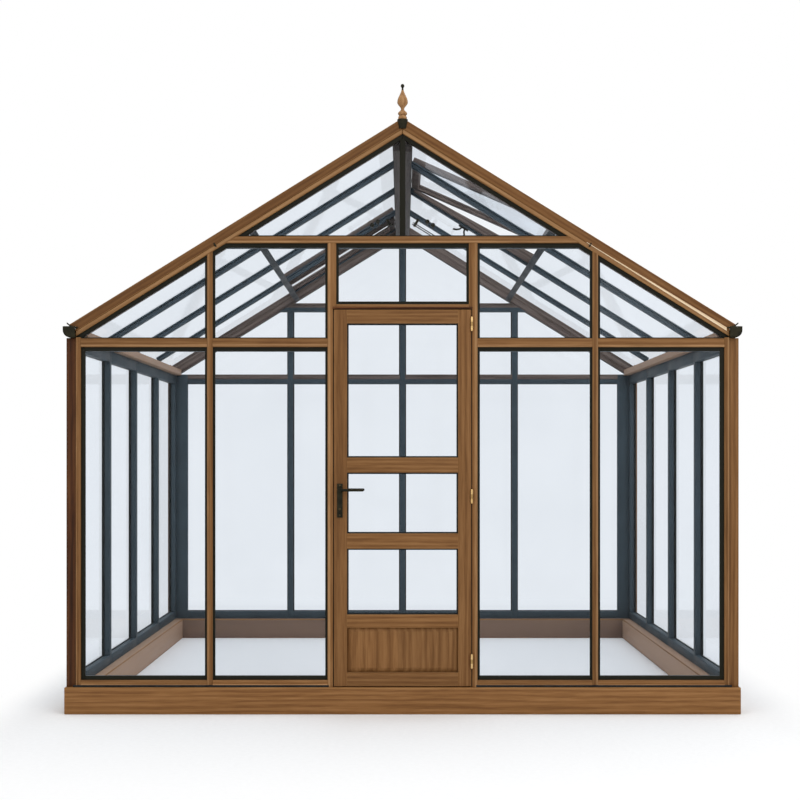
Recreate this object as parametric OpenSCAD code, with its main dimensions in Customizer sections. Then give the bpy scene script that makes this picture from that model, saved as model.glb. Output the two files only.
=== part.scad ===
/* [Base] */
// Outside width of the timber base
base_w = 3600; // [3200:10:4200]
// Outside depth of the timber base
base_d = 3000; // [2400:10:3800]
// Height of the base timbers
base_h = 143; // [100:1:200]
// Thickness of the base timbers
base_t = 130; // [100:1:160]
// How far the wall faces stand behind the outer faces of the base
wall_inset = 12; // [6:1:24]

/* [Heights and roof] */
// Distance of the eaves rail's underside below the top of the door
eaves_drop = 220; // [120:1:300]
// Distance of the collar rail's underside above the top of the door
collar_rise = 332; // [280:1:400]
// Height of the roof line above the eaves rail's underside, at the wall face
eaves_to_roof = 132; // [120:1:150]
// Pitch of the roof in degrees
roof_pitch = 31.8; // [30:0.1:34]

/* [Bays] */
// Distance of the front mullions from the centre line
mullion_x = 1027; // [800:1:1200]
// Distance of the back glazing bars from the centre line
back_bar_x = 858; // [700:1:920]
// Number of bays along each side and along the roof
side_bays = 4; // [3:1:6]
// Bay of the right slope that holds the open vent, counted from the front
right_vent_bay = 2; // [1:1:3]
// Bay of the left slope that holds the closed vent, counted from the back
left_vent_bay = 1; // [1:1:3]

/* [Glazing bars] */
// Thickness of the timber caps outside the bars
cap_t = 14; // [10:1:18]
// Width of the timber caps on the bars
cap_w = 30; // [24:1:38]
// Thickness of the pressure plates that clamp the glass
plate_t = 8; // [5:1:10]
// Width of the pressure plates on the bars
plate_w = 55; // [46:1:64]
// Thickness of the glass
glass_t = 4; // [3:1:8]
// Depth of the bars inside the glass
body_t = 32; // [24:1:40]
// Width of the bars inside the glass
body_w = 40; // [32:1:44]
// Width of the web between the panes
web_w = 16; // [10:1:20]
// Gap between the edge of a pane and the web
pane_gap = 2; // [1:0.5:4]

/* [Corners] */
// Width of the corner posts, seen from the front
corner_post_w = 47; // [36:1:60]
// Stand of the corner posts out of the side walls
corner_stand = 6; // [0:1:10]
// Width of the end stiles of the front wall inside the glass
front_stile_w = 40; // [34:1:60]
// Width of the end stiles of the back wall inside the glass
back_stile_w = 97; // [60:1:120]
// Width of the timber caps on the end stiles
stile_cap_w = 26; // [20:1:34]

/* [Rails] */
// Height of the bottom rails
bottom_rail_h = 58; // [48:1:70]
// Height of the sill caps
sill_cap_h = 31; // [24:1:36]
// Height of the eaves rails
eaves_rail_h = 73; // [64:1:84]
// Height of the caps on the eaves rails
eaves_cap_h = 46; // [36:1:50]
// Height of the collar rails
collar_rail_h = 66; // [58:1:76]
// Height of the caps on the collar rails
collar_cap_h = 36; // [28:1:40]

/* [Gable edges] */
// Depth of the verge boards, square to the slope
verge_h = 47; // [38:1:56]
// Thickness of the verge boards
verge_t = 16; // [16:1:22]
// Depth of the mouldings under the verge boards
moulding_h = 23; // [16:1:28]
// Depth of the rafters, square to the slope
rafter_h = 60; // [55:1:72]

/* [Roof frame] */
// Width of the ridge beam
ridge_w = 98; // [80:1:120]
// Depth of the ridge beam below the roof line at the apex
ridge_drop = 165; // [140:1:200]
// Depth of the purlins, square to the slope
purlin_h = 40; // [30:1:60]
// Depth of the roof bars inside the glass
roof_body_t = 20; // [16:1:32]
// Width of the eaves plates on the side walls
eaves_plate_w = 50; // [40:1:70]
// Height of the eaves plates
eaves_plate_h = 44; // [40:1:60]
// Width of the gutters
gutter_w = 65; // [55:1:80]
// Height of the gutters
gutter_h = 60; // [50:1:64]
// Opening angle of the right roof vent in degrees
vent_open = 8; // [4:1:16]
// Width of the vent sash rails
vent_rail_w = 48; // [40:1:60]
// Thickness of the vent sashes
vent_t = 34; // [26:1:40]

/* [Door] */
// Width of the door leaf
door_w = 732; // [640:1:820]
// Height of the door leaf
door_h = 2006; // [1900:1:2080]
// Thickness of the door leaf
door_t = 44; // [38:1:46]
// Clear gap round the door leaf
door_gap = 5; // [5:0.5:7]
// Width of the door stiles
door_stile_w = 70; // [60:1:90]
// Height of the foot rail of the door
door_foot_rail_h = 74; // [60:1:90]
// Height of the rail above the door panel
door_panel_rail_h = 69; // [56:1:90]
// Height of the middle rails of the door
door_rail_h = 80; // [60:1:100]
// Height of the top rail of the door
door_top_rail_h = 73; // [60:1:90]
// Height of the timber panel at the foot of the door
door_panel_h = 238; // [180:1:300]
// Height of the lowest pane of the door
low_pane_h = 352; // [280:1:420]
// Height of the middle pane of the door
mid_pane_h = 325; // [260:1:400]

/* [Door furniture] */
// Diameter of the hinge knuckles
knuckle_d = 13; // [11:1:14]
// Height of a hinge
hinge_h = 69; // [60:1:90]
// Height of the lowest hinge's middle above the foot of the door
low_hinge = 133; // [90:1:200]
// Distance of the highest hinge's middle below the top of the door
high_hinge = 77; // [60:1:200]
// Diameter of the hinge pins
hinge_pin_d = 6; // [5:0.5:7]
// Running clearance on radius at the hinge pins and the lever neck
running_gap = 0.05; // [0.03:0.01:0.1]
// Height of the lock plates
lock_plate_h = 180; // [150:1:220]
// Width of the lock plates
lock_plate_w = 29; // [26:1:36]
// Height of the lever spindle above the foot of the door
lever_z = 1045; // [950:1:1100]
// Length of the lever from the spindle
lever_len = 122; // [100:1:140]
// Diameter of the lever neck
lever_d = 18; // [16:1:20]

/* [Finial] */
// Height of the turned finial above its socket
finial_h = 192; // [150:1:240]
// Greatest diameter of the finial
finial_d = 57; // [48:1:66]
// Height of the finial socket
socket_h = 49; // [40:1:60]

/* [Hidden] */
$fn = 48;

oak = [0.55, 0.39, 0.25];
oak_light = [0.62, 0.46, 0.31];
slate = [0.24, 0.28, 0.31];
bronze = [0.16, 0.15, 0.11];
clear = [0.80, 0.87, 0.92, 0.35];
brass = [0.86, 0.74, 0.48];

// Door opening and its rebate
door_foot = base_h + door_gap;
door_top = door_foot + door_h;
head_z = door_top + door_gap;
head_h = 40;
rebate_half = door_w / 2 + door_gap;
rebate_depth = door_t + door_gap;
stop_lap = 10;
post_reveal = 5.5;
post_x = rebate_half + post_reveal;
post_cap_half = 23;
post_plate_half = 36;
post_web_half = 20;
post_body_out = 30;
post_body_in = post_x - door_w / 2 + stop_lap;

// Door leaf: tongues in grooves, levels of the rails, panel
tongue = 10;
inner_half = door_w / 2 - door_stile_w;
glass_back = (door_t + glass_t) / 2;
glass_front = (door_t - glass_t) / 2;
panel_foot = door_foot + door_foot_rail_h;
panel_top = panel_foot + door_panel_h;
low_pane_z = panel_top + door_panel_rail_h;
mid_rail_z = low_pane_z + low_pane_h;
high_rail_z = mid_rail_z + door_rail_h + mid_pane_h;
door_rail_spans = [
    [door_foot, panel_foot],
    [panel_top, low_pane_z],
    [mid_rail_z, mid_rail_z + door_rail_h],
    [high_rail_z, high_rail_z + door_rail_h],
    [door_top - door_top_rail_h, door_top]
];
panel_play = 1;
panel_border = 24;
panel_field_t = 22;

// Door furniture
hinge_x = door_w / 2 + door_gap / 2;
knuckle_clear = 0.5;
knuckle_gap = 0.3;
knuckle_h = hinge_h / 3;
knuckle_tip_d = knuckle_d * 0.8;
hinge_out = knuckle_d / 2 + knuckle_clear;
hinge_leaf_t = 2;
hinge_leaf_back = 4;
middle_hinge_share = 0.504;
hinge_levels = [door_foot + low_hinge, door_foot + door_h * middle_hinge_share, door_top - high_hinge];
lock_inset = 32;
lock_x = -door_w / 2 + lock_inset;
lock_plate_t = 5;
lock_plate_drop = 146;
key_boss_t = 4;
key_boss_d = lock_plate_w * 0.6;
key_boss_z = lock_plate_h / 4;
spindle_clear = 2;
neck_out = 46;
grip_d = lever_d * 0.8;

// Layers of a wall, measured inwards from its face: plate, glass, bar body
plate_at = cap_t;
glass_at = plate_at + plate_t;
body_at = glass_at + glass_t;
wall_t = body_at + body_t;

// Positions of the wall faces and the outer edges of the end stiles
half_w = base_w / 2 - wall_inset;
half_d = base_d / 2 - wall_inset;
end_edge = half_w - corner_post_w;
side_end_edge = half_d - wall_t;
reveal = 22;
stile_web_gap = 3;
rail_step = 4;
big = 2 * (base_w + base_d);

// Rail levels
eaves_z = door_top - eaves_drop;
collar_z = door_top + collar_rise;
bottom_top = base_h + bottom_rail_h;
bottom_web = bottom_top - web_w + pane_gap;
eaves_top = eaves_z + eaves_rail_h;
eaves_mid = eaves_z + eaves_rail_h / 2;
collar_top = collar_z + collar_rail_h;
collar_mid = collar_z + collar_rail_h / 2;
gutter_seat_drop = 3;
side_top = eaves_top - gutter_seat_drop;
side_body_drop = 5;
side_body_top = side_top - side_body_drop;
groove = 14;

// Timber caps: levels on the rails and the moulded section
sill_cap_foot = 6;
eaves_cap_foot = 21;
collar_cap_foot = 23;
head_cap_foot = 6;
head_cap_h = 18;
sill_cap_z = [base_h + sill_cap_foot, base_h + sill_cap_foot + sill_cap_h];
eaves_cap_z = [eaves_z + eaves_cap_foot, eaves_z + eaves_cap_foot + eaves_cap_h];
collar_cap_z = [collar_z + collar_cap_foot, collar_z + collar_cap_foot + collar_cap_h];
head_cap_z = [head_z + head_cap_foot, head_z + head_cap_foot + head_cap_h];
cap_bevel = cap_t * 0.2;
cap_shoulder = cap_t * 0.35;
cap_slope = cap_t * 0.3;
cap_bead_share = 1 / 6;
flat_cap_t = 6;

// Roof line and the depths of the layers below it
apex_z = eaves_z + eaves_to_roof + tan(roof_pitch) * half_w;
roof_plate_at = 16;
roof_glass_at = roof_plate_at + plate_t;
roof_body_at = roof_glass_at + glass_t;
roof_body_end = roof_body_at + roof_body_t;
rake_show = 21;
rake_edge = verge_h + moulding_h + rake_show;
rake_web_edge = rake_edge - groove;
rafter_edge = roof_body_at + rafter_h;
mitre_gap = 1;
gutter_x = half_w - corner_post_w;
gutter_top = side_top + gutter_h;
gutter_skin = 3;
gutter_back_drop = 14;
gutter_round = 40;
glass_overhang = 12;
purlin_share = 0.475;
purlin_q = purlin_share * half_w / cos(roof_pitch);
purlin_w = 40;
ridge_cap_q = 66;
ridge_cap_t = 10;
bay = (2 * half_d - wall_t) / side_bays;

// Levels of the panes in the walls
low_pane = [bottom_web + pane_gap, eaves_z + groove - pane_gap];
gable_pane = [eaves_top - groove + pane_gap, collar_z + groove - pane_gap];
top_pane = [collar_top - groove + pane_gap, apex_z];
rake_pane = rake_web_edge + pane_gap / cos(roof_pitch);

// Roof vents and the stay of the open one
left_vent = side_bays + 1 - left_vent_bay;
vent_sill_w = 30;
vent_lap = 15;
vent_ridge_gap = 11;
vent_half = bay / 2 - plate_w / 2 + vent_lap;
vent_from = ridge_cap_q + vent_ridge_gap;
vent_to = purlin_q + vent_rail_w / 2;
stay_t = 10;
stay_w = 24;

// Finials, with the top of their sockets a little below the apex
socket_drop = 9;
socket_top = apex_z - socket_drop;
socket_foot_d = finial_d * 0.7;
socket_head_d = finial_d * 1.02;
finial_y = plate_at - verge_t / 2;

// An upright is [u, plate edges, web edges, body edges], edges measured from u
mullion = [mullion_x, [-plate_w / 2, plate_w / 2], [-web_w / 2, web_w / 2], [-body_w / 2, body_w / 2]];
back_bar = [back_bar_x, mullion[1], mullion[2], mullion[3]];
centre_bar = [0, mullion[1], mullion[2], mullion[3]];
king_w = 30;
king_web_w = 12;
king_bar = [0, [-king_w / 2, king_w / 2], [-king_web_w / 2, king_web_w / 2], [-king_w / 2, king_w / 2]];
post = [
    post_x, [-post_plate_half, post_plate_half], [-post_web_half, post_web_half],
    [-post_body_in, post_body_out]
];
front_end = end_stile(end_edge, front_stile_w);
back_end = end_stile(end_edge, back_stile_w);
side_end = end_stile(side_end_edge, front_stile_w);

function end_stile(edge, body) = [
    edge, [-stile_cap_w - reveal, 0], [-stile_cap_w + stile_web_gap, 0], [-body, 0]
];
function moved(bar, u) = [u, bar[1], bar[2], bar[3]];
function mirrored(bar) = [-bar[0], flip(bar[1]), flip(bar[2]), flip(bar[3])];
function flip(edges) = [-edges[1], -edges[0]];
function roof_z(x, p) = apex_z - p / cos(roof_pitch) - tan(roof_pitch) * abs(x);
function side_bar_u(i) = -half_d + wall_t / 2 + i * bay;

// Frames of the four walls and the two slopes, with the origin under the front base timber
module site() translate([0, (base_d - base_t) / 2, 0]) children();
module on_front() site() translate([0, -half_d, 0]) children();
module on_back() site() rotate([0, 0, 180]) translate([0, -half_d, 0]) children();
module on_left() site() rotate([0, 0, -90]) translate([0, -half_w, 0]) children();
module on_right() site() rotate([0, 0, 90]) translate([0, -half_w, 0]) children();
module on_gables() { on_front() children(); on_back() children(); }
module on_sides() { on_left() children(); on_right() children(); }
module both_ways() { children(); mirror([1, 0, 0]) children(); }
module right_slope() site() translate([0, 0, apex_z]) rotate([0, roof_pitch, 0]) children();
module left_slope() site() mirror([1, 0, 0]) translate([0, 0, apex_z]) rotate([0, roof_pitch, 0]) children();

module block(x, y, z) translate([x[0], y[0], z[0]]) cube([x[1] - x[0], y[1] - y[0], z[1] - z[0]]);

// A sheet cut in the wall plane, from depth a to depth b behind the wall face
module sheet(a, b) translate([0, b, 0]) rotate([90, 0, 0]) linear_extrude(b - a) children();

// Everything in the wall plane below the roof line lowered by p
module under_roof(p) {
    polygon([
        [-base_w, -base_h], [base_w, -base_h], [base_w, roof_z(base_w, p)],
        [0, roof_z(0, p)], [-base_w, roof_z(base_w, p)]
    ]);
}

// A rectangle of one wall layer, cut off under the roof line lowered by p
module gable_piece(depth, u, z, p) {
    sheet(depth[0], depth[1])
        intersection() {
            translate([u[0], z[0]]) square([u[1] - u[0], z[1] - z[0]]);
            under_roof(p);
        }
}

// A bar or rail of the gable in its three layers: plate, web and body
module gable_bar(u, plate_z, web_z, body_z) {
    gable_piece([plate_at, glass_at], u[0], plate_z, rake_edge);
    gable_piece([glass_at, body_at], u[1], web_z, rake_web_edge);
    gable_piece([body_at, wall_t], u[2], body_z, rafter_edge);
}

module gable_upright(bar, z) {
    gable_bar([for (i = [1:3]) [bar[0] + bar[i][0], bar[0] + bar[i][1]]], z, z, z);
}

module below_moulding() {
    intersection() {
        children();
        sheet(-verge_t, plate_at) under_roof(verge_h + moulding_h);
    }
}

module bar_section(bar, depth = body_t) {
    p = bar[1];
    w = bar[2];
    b = bar[3];
    polygon([
        [p[0], plate_at], [p[1], plate_at], [p[1], glass_at], [w[1], glass_at],
        [w[1], body_at], [b[1], body_at], [b[1], body_at + depth], [b[0], body_at + depth],
        [b[0], body_at], [w[0], body_at], [w[0], glass_at], [p[0], glass_at]
    ]);
}

module upright(bar, z) translate([bar[0], 0, z[0]]) linear_extrude(z[1] - z[0]) bar_section(bar);

// A rail between two uprights, with its own heights for plate, web and body
module rail(a, b, plate_z, web_z, body_z) {
    block([a[0] + a[1][1], b[0] + b[1][0]], [plate_at, glass_at], plate_z);
    block([a[0] + a[2][1], b[0] + b[2][0]], [glass_at, body_at], web_z);
    block([a[0] + a[3][1], b[0] + b[3][0]], [body_at, wall_t], body_z);
}

module bottom_rail(a, b) {
    rail(a, b, [base_h, bottom_top], [base_h, bottom_web], [base_h, bottom_top - rail_step]);
}

module eaves_rail(a, b) {
    rail(a, b, [eaves_z, eaves_top], [eaves_z + groove, eaves_top - groove], [eaves_z, eaves_mid]);
}

// A timber cap with a raised bead along one edge, standing on the plates
module cap_section(w) {
    polygon([
        [-w / 2, plate_at], [-w / 2, cap_shoulder], [-w / 2 + cap_slope, cap_bevel],
        [w * cap_bead_share, cap_bevel], [w * cap_bead_share + cap_bevel, 0], [w / 2 - cap_bevel, 0],
        [w / 2, cap_bevel], [w / 2, plate_at]
    ]);
}

module upright_cap(u, w, z) translate([u, 0, z[0]]) linear_extrude(z[1] - z[0]) cap_section(w);

module rail_cap(u, z) {
    translate([u[0], 0, (z[0] + z[1]) / 2])
        rotate([0, 90, 0])
            linear_extrude(u[1] - u[0])
                cap_section(z[1] - z[0]);
}

module pane(a, b, z, p) {
    sheet(glass_at, body_at)
        intersection() {
            translate([a[0] + a[2][1] + pane_gap, z[0]])
                square([
                    b[0] + b[2][0] - a[0] - a[2][1] - 2 * pane_gap,
                    z[1] - z[0]
                ]);
            under_roof(p);
        }
}

// Base timbers: the front and back ones run through, the side ones stand between them
module base_ends() {
    color(oak) site()
        for (way = [-1, 1])
            scale([1, way, 1])
                block([-base_w / 2, base_w / 2], [base_d / 2 - base_t, base_d / 2], [0, base_h]);
}

module base_sides() {
    color(oak) site() both_ways()
        block([base_w / 2 - base_t, base_w / 2], [-base_d / 2 + base_t, base_d / 2 - base_t], [0, base_h]);
}

module corner_posts() {
    color(oak) on_gables() both_ways()
        block([end_edge, half_w + corner_stand], [plate_at, wall_t], [base_h, side_top]);
}

// Front wall
module door_rebate() {
    block([-rebate_half, rebate_half], [-big, rebate_depth], [0, head_z]);
}

module front_uprights() {
    color(slate) on_front() {
        gable_upright(king_bar, [collar_top, apex_z]);
        both_ways() {
            upright(front_end, [base_h, eaves_top]);
            gable_upright(mullion, [base_h, apex_z]);
            difference() {
                upright(post, [base_h, collar_z]);
                door_rebate();
            }
        }
    }
}

module front_rails() {
    color(slate) on_front() {
        both_ways() {
            bottom_rail(post, mullion);
            bottom_rail(mullion, front_end);
            eaves_rail(post, mullion);
            eaves_rail(mullion, front_end);
        }
        collar_rail(-base_w, -base_w, -base_w);
        head_rail();
    }
}

// A collar rail from the given starts of its plate, web and body out to the right-hand rake
module collar_rail(plate_u, web_u, body_u) {
    gable_bar(
        [[plate_u, base_w], [web_u, base_w], [body_u, base_w]],
        [collar_z, collar_top], [collar_z + groove, collar_top - groove], [collar_z, collar_mid]
    );
}

module head_rail() {
    difference() {
        rail(
            mirrored(post), post, [head_z, head_z + head_h], [head_z, head_z + head_h - groove],
            [head_z - door_gap - stop_lap, head_z + head_h - rail_step]
        );
        door_rebate();
    }
}

module front_upright_caps() {
    color(oak_light) on_front() both_ways() {
        upright_cap(end_edge - stile_cap_w / 2, stile_cap_w, [base_h, eaves_top]);
        below_moulding() upright_cap(mullion_x, cap_w, [base_h, apex_z]);
        difference() {
            upright_cap(post_x, 2 * post_cap_half, [base_h, collar_z + collar_cap_foot]);
            door_rebate();
        }
    }
}

module front_rail_caps() {
    color(oak) on_front() {
        both_ways() {
            for (z = [sill_cap_z, eaves_cap_z]) {
                rail_cap([post_x + post_cap_half, mullion_x - cap_w / 2], z);
                rail_cap([mullion_x + cap_w / 2, end_edge - stile_cap_w], z);
            }
        }
        below_moulding() rail_cap([-base_w, base_w], collar_cap_z);
        rail_cap([-post_x + post_cap_half, post_x - post_cap_half], head_cap_z);
    }
}

module front_panes() {
    color(clear) on_front() {
        both_ways() {
            pane(post, mullion, low_pane, rake_pane);
            pane(mullion, front_end, low_pane, rake_pane);
            pane(post, mullion, gable_pane, rake_pane);
            pane(mullion, front_end, gable_pane, rake_pane);
            pane(king_bar, moved(front_end, half_w), top_pane, rake_pane);
        }
        pane(mirrored(post), post, [head_z + head_h - groove + pane_gap, gable_pane[1]], rake_pane);
    }
}

// Back wall
module back_uprights() {
    color(slate) on_back() {
        gable_upright(centre_bar, [base_h, apex_z]);
        both_ways() {
            upright(back_end, [base_h, eaves_top]);
            upright(back_bar, [base_h, collar_z]);
        }
    }
}

module back_rails() {
    color(slate) on_back() both_ways() {
        for (pair = [[centre_bar, back_bar], [back_bar, back_end]]) {
            bottom_rail(pair[0], pair[1]);
            eaves_rail(pair[0], pair[1]);
        }
        collar_rail(plate_w / 2, web_w / 2, body_w / 2);
    }
}

module back_upright_caps() {
    color(oak_light) on_back() {
        below_moulding() upright_cap(0, cap_w, [base_h, apex_z]);
        both_ways() {
            upright_cap(end_edge - stile_cap_w / 2, stile_cap_w, [base_h, eaves_top]);
            upright_cap(back_bar_x, cap_w, [base_h, collar_z + collar_cap_foot]);
        }
    }
}

module back_rail_caps() {
    color(oak) on_back() both_ways() {
        for (z = [sill_cap_z, eaves_cap_z]) {
            rail_cap([cap_w / 2, back_bar_x - cap_w / 2], z);
            rail_cap([back_bar_x + cap_w / 2, end_edge - stile_cap_w], z);
        }
        below_moulding() rail_cap([cap_w / 2, base_w], collar_cap_z);
    }
}

module back_panes() {
    color(clear) on_back() both_ways() {
        for (pair = [[centre_bar, back_bar], [back_bar, back_end]]) {
            pane(pair[0], pair[1], low_pane, rake_pane);
            pane(pair[0], pair[1], gable_pane, rake_pane);
        }
        pane(centre_bar, moved(back_end, half_w), top_pane, rake_pane);
    }
}

// Side walls
function side_bar(i) =
    i == 0 ? mirrored(side_end)
    : i == side_bays ? side_end
    : moved(mullion, side_bar_u(i));

module side_uprights() {
    color(slate) on_sides()
        for (i = [0:side_bays]) upright(side_bar(i), [base_h, side_body_top]);
}

module side_rails() {
    color(slate) on_sides()
        for (i = [1:side_bays]) {
            bottom_rail(side_bar(i - 1), side_bar(i));
            rail(
                side_bar(i - 1), side_bar(i), [eaves_z, side_top], [eaves_z + groove, side_body_top],
                [eaves_z, side_body_top]
            );
        }
}

module flat_cap(u, w) {
    block([u - w / 2, u + w / 2], [plate_at - flat_cap_t, plate_at], [base_h, eaves_cap_z[0]]);
}

module side_upright_caps() {
    color(slate) on_sides() {
        both_ways() flat_cap(side_end_edge - stile_cap_w / 2, stile_cap_w);
        for (i = [1:side_bays - 1]) flat_cap(side_bar_u(i), cap_w);
    }
}

function side_cap_edge(i, way) =
    side_bar(i)[0] + way * (i == 0 || i == side_bays ? stile_cap_w : cap_w / 2);

module side_rail_caps() {
    color(oak) on_sides() {
        rail_cap([-side_end_edge, side_end_edge], eaves_cap_z);
        for (i = [1:side_bays]) rail_cap([side_cap_edge(i - 1, 1), side_cap_edge(i, -1)], sill_cap_z);
    }
}

module side_panes() {
    color(clear) on_sides()
        for (i = [1:side_bays]) pane(side_bar(i - 1), side_bar(i), low_pane, 0);
}

// Timber rails on the inside of the gable walls, above the metal ones
module inner_rail(a, b, z) block([a[0] + a[3][1], b[0] + b[3][0]], [body_at, wall_t], z);

module gable_inner_rails() {
    color(oak) {
        on_front() {
            both_ways() {
                inner_rail(post, mullion, [eaves_mid, eaves_top]);
                inner_rail(mullion, front_end, [eaves_mid, eaves_top]);
            }
            collar_lining(-base_w);
        }
        on_back() both_ways() {
            inner_rail(centre_bar, back_bar, [eaves_mid, eaves_top]);
            inner_rail(back_bar, back_end, [eaves_mid, eaves_top]);
            collar_lining(body_w / 2);
        }
    }
}

module collar_lining(u) {
    gable_piece([body_at, wall_t], [u, base_w], [collar_mid, collar_top], rafter_edge);
}

// Sloping gable edges: one strip of the gable between depths p0 and p1, out to x1
module rake_strip(p0, p1, x1) {
    intersection() {
        difference() {
            under_roof(p0);
            under_roof(p1);
        }
        translate([mitre_gap / 2, eaves_top]) square([x1 - mitre_gap / 2, apex_z]);
    }
}

module rake_rails() {
    color(bronze) on_gables() both_ways() {
        sheet(plate_at, glass_at) rake_strip(roof_body_at, rake_edge, end_edge);
        sheet(glass_at, body_at) rake_strip(roof_body_at, rake_web_edge, end_edge);
    }
}

module rafters() {
    color(oak) on_gables() both_ways()
        sheet(body_at, wall_t) rake_strip(roof_body_at, rafter_edge, end_edge);
}

module verge_boards() {
    color(oak) on_gables() both_ways()
        difference() {
            sheet(plate_at - verge_t, plate_at) rake_strip(0, verge_h, half_w - wall_inset);
            block([end_edge, half_w], [-big, big], [0, gutter_top]);
        }
}

module verge_mouldings() {
    color(oak_light) on_gables() both_ways()
        sheet(cap_bevel, plate_at) rake_strip(verge_h, verge_h + moulding_h, end_edge);
}

// Roof frame
module eaves_plates() {
    color(oak) site() both_ways()
        rotate([90, 0, 0])
            translate([0, 0, -side_end_edge])
                linear_extrude(2 * side_end_edge)
                    intersection() {
                        translate([gutter_x - eaves_plate_w, side_body_top])
                            square([eaves_plate_w, eaves_plate_h]);
                        under_roof(roof_body_end);
                    }
}

module gutter_outline(w, h, r) {
    translate([0, r]) square([w, h - r]);
    square([w - r, h]);
    intersection() {
        translate([w - r, r]) circle(r);
        square([w, h]);
    }
}

module gutters() {
    color(bronze) site() both_ways()
        translate([gutter_x, base_d / 2, side_top])
            rotate([90, 0, 0])
                difference() {
                    linear_extrude(base_d) gutter_outline(gutter_w, gutter_h, gutter_round);
                    translate([gutter_skin, gutter_skin, gutter_skin])
                        linear_extrude(base_d - 2 * gutter_skin)
                            gutter_outline(
                                gutter_w - 2 * gutter_skin, gutter_h, gutter_round - gutter_skin
                            );
                    translate([-1, gutter_h - gutter_back_drop, gutter_skin])
                        cube([gutter_w / 2, gutter_h, base_d - 2 * gutter_skin]);
                }
}

module ridge_beam() {
    color(oak) site()
        rotate([90, 0, 0])
            translate([0, 0, -side_end_edge])
                linear_extrude(2 * side_end_edge)
                    intersection() {
                        translate([-ridge_w / 2, apex_z - ridge_drop]) square([ridge_w, ridge_drop]);
                        under_roof(roof_body_at);
                    }
}

module ridge_cap() {
    color(bronze) site()
        rotate([90, 0, 0])
            translate([0, 0, -half_d + plate_at])
                linear_extrude(2 * (half_d - plate_at))
                    intersection() {
                        difference() {
                            under_roof(roof_plate_at - ridge_cap_t);
                            under_roof(roof_plate_at);
                        }
                        translate([-ridge_cap_q * cos(roof_pitch), 0])
                            square([2 * ridge_cap_q * cos(roof_pitch), apex_z]);
                    }
}

module purlins() {
    color(slate) {
        right_slope() purlin();
        left_slope() purlin();
    }
}

module purlin() {
    block(
        [purlin_q - purlin_w / 2, purlin_q + purlin_w / 2], [-side_end_edge, side_end_edge],
        [-roof_body_end - purlin_h, -roof_body_end]
    );
}

// A glazing bar laid down the slope at its true depth, cut plumb at the ridge and the eaves
module roof_bar(y) {
    translate([0, y, plate_at - roof_plate_at])
        rotate([0, 90, 0])
            linear_extrude(half_w / cos(roof_pitch))
                mirror([1, -1, 0])
                    bar_section(centre_bar, roof_body_t);
}

module plumb_cut(from, to) {
    intersection() {
        children();
        site() block([from, to], [-base_d, base_d], [0, apex_z]);
    }
}

module roof_bars() {
    color(slate) both_ways() plumb_cut(ridge_w / 2, gutter_x)
        right_slope()
            for (i = [1:side_bays - 1]) roof_bar(side_bar_u(i));
}

function bay_from(i) = i == 1 ? -half_d + plate_at : side_bar_u(i - 1) + web_w / 2 + pane_gap;
function bay_to(i) = i == side_bays ? half_d - plate_at : side_bar_u(i) - web_w / 2 - pane_gap;

module slope_panes(vent_bay) {
    plumb_cut(ridge_w / 4, gutter_x + glass_overhang)
        right_slope()
            for (i = [1:side_bays])
                block(
                    [i == vent_bay ? purlin_q + vent_sill_w / 2 + pane_gap : 0, big],
                    [bay_from(i), bay_to(i)], [-roof_body_at, -roof_glass_at]
                );
}

module roof_panes() {
    color(clear) {
        slope_panes(right_vent_bay);
        mirror([1, 0, 0]) slope_panes(left_vent);
    }
}

// Roof vents: a sill across the bay, a sash lying on the bars, and the stay of the open one
function vent_y(i) = (side_bar_u(i - 1) + side_bar_u(i)) / 2;

module vent_sill(i) {
    q = [purlin_q - vent_sill_w / 2, purlin_q + vent_sill_w / 2];
    block(q, bay_span(i, body_w / 2), [-roof_body_end, -roof_body_at]);
    block(q, bay_span(i, plate_w / 2), [-roof_body_at, -roof_plate_at]);
    if (i == 1) vent_curb(q[1], [vent_y(i) - vent_half, -side_end_edge]);
    if (i == side_bays) vent_curb(q[1], [side_end_edge, vent_y(i) + vent_half]);
}

// Packing on a rafter, where a vent lies beside the gable
module vent_curb(q, y) block([vent_from, q], y, [-roof_body_at, -roof_plate_at]);

// Clear width of a roof bay between bars of the given half width, or up to a rafter
function bay_span(i, half_bar) = [
    i == 1 ? -side_end_edge : side_bar_u(i - 1) + half_bar,
    i == side_bays ? side_end_edge : side_bar_u(i) - half_bar
];

module vent_sills() {
    color(slate) {
        right_slope() vent_sill(right_vent_bay);
        left_slope() vent_sill(left_vent);
    }
}

module vent_frame() {
    difference() {
        block([vent_from, vent_to], [-vent_half, vent_half], [-roof_plate_at, vent_t - roof_plate_at]);
        block(
            [vent_from + vent_rail_w, vent_to - vent_rail_w],
            [-vent_half + vent_rail_w, vent_half - vent_rail_w], [-big, big]
        );
        vent_sheet(0);
    }
}

module vent_sheet(gap) {
    block(
        [vent_from + vent_rail_w - tongue + gap, vent_to - vent_rail_w + tongue - gap],
        [-vent_half + vent_rail_w - tongue + gap, vent_half - vent_rail_w + tongue - gap],
        [vent_t / 2 - roof_plate_at, vent_t / 2 - roof_plate_at + glass_t]
    );
}

// Turns a closed vent about its ridge edge
module opened(angle) {
    translate([vent_from, 0, -roof_plate_at])
        rotate([0, -angle, 0])
            translate([-vent_from, 0, roof_plate_at])
                children();
}

module vent_sashes() {
    color(oak) {
        right_slope() translate([0, vent_y(right_vent_bay), 0]) opened(vent_open) vent_frame();
        left_slope() translate([0, vent_y(left_vent), 0]) vent_frame();
    }
}

module vent_panes() {
    color(clear) {
        right_slope() translate([0, vent_y(right_vent_bay), 0]) opened(vent_open) vent_sheet(pane_gap);
        left_slope() translate([0, vent_y(left_vent), 0]) vent_sheet(pane_gap);
    }
}

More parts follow.
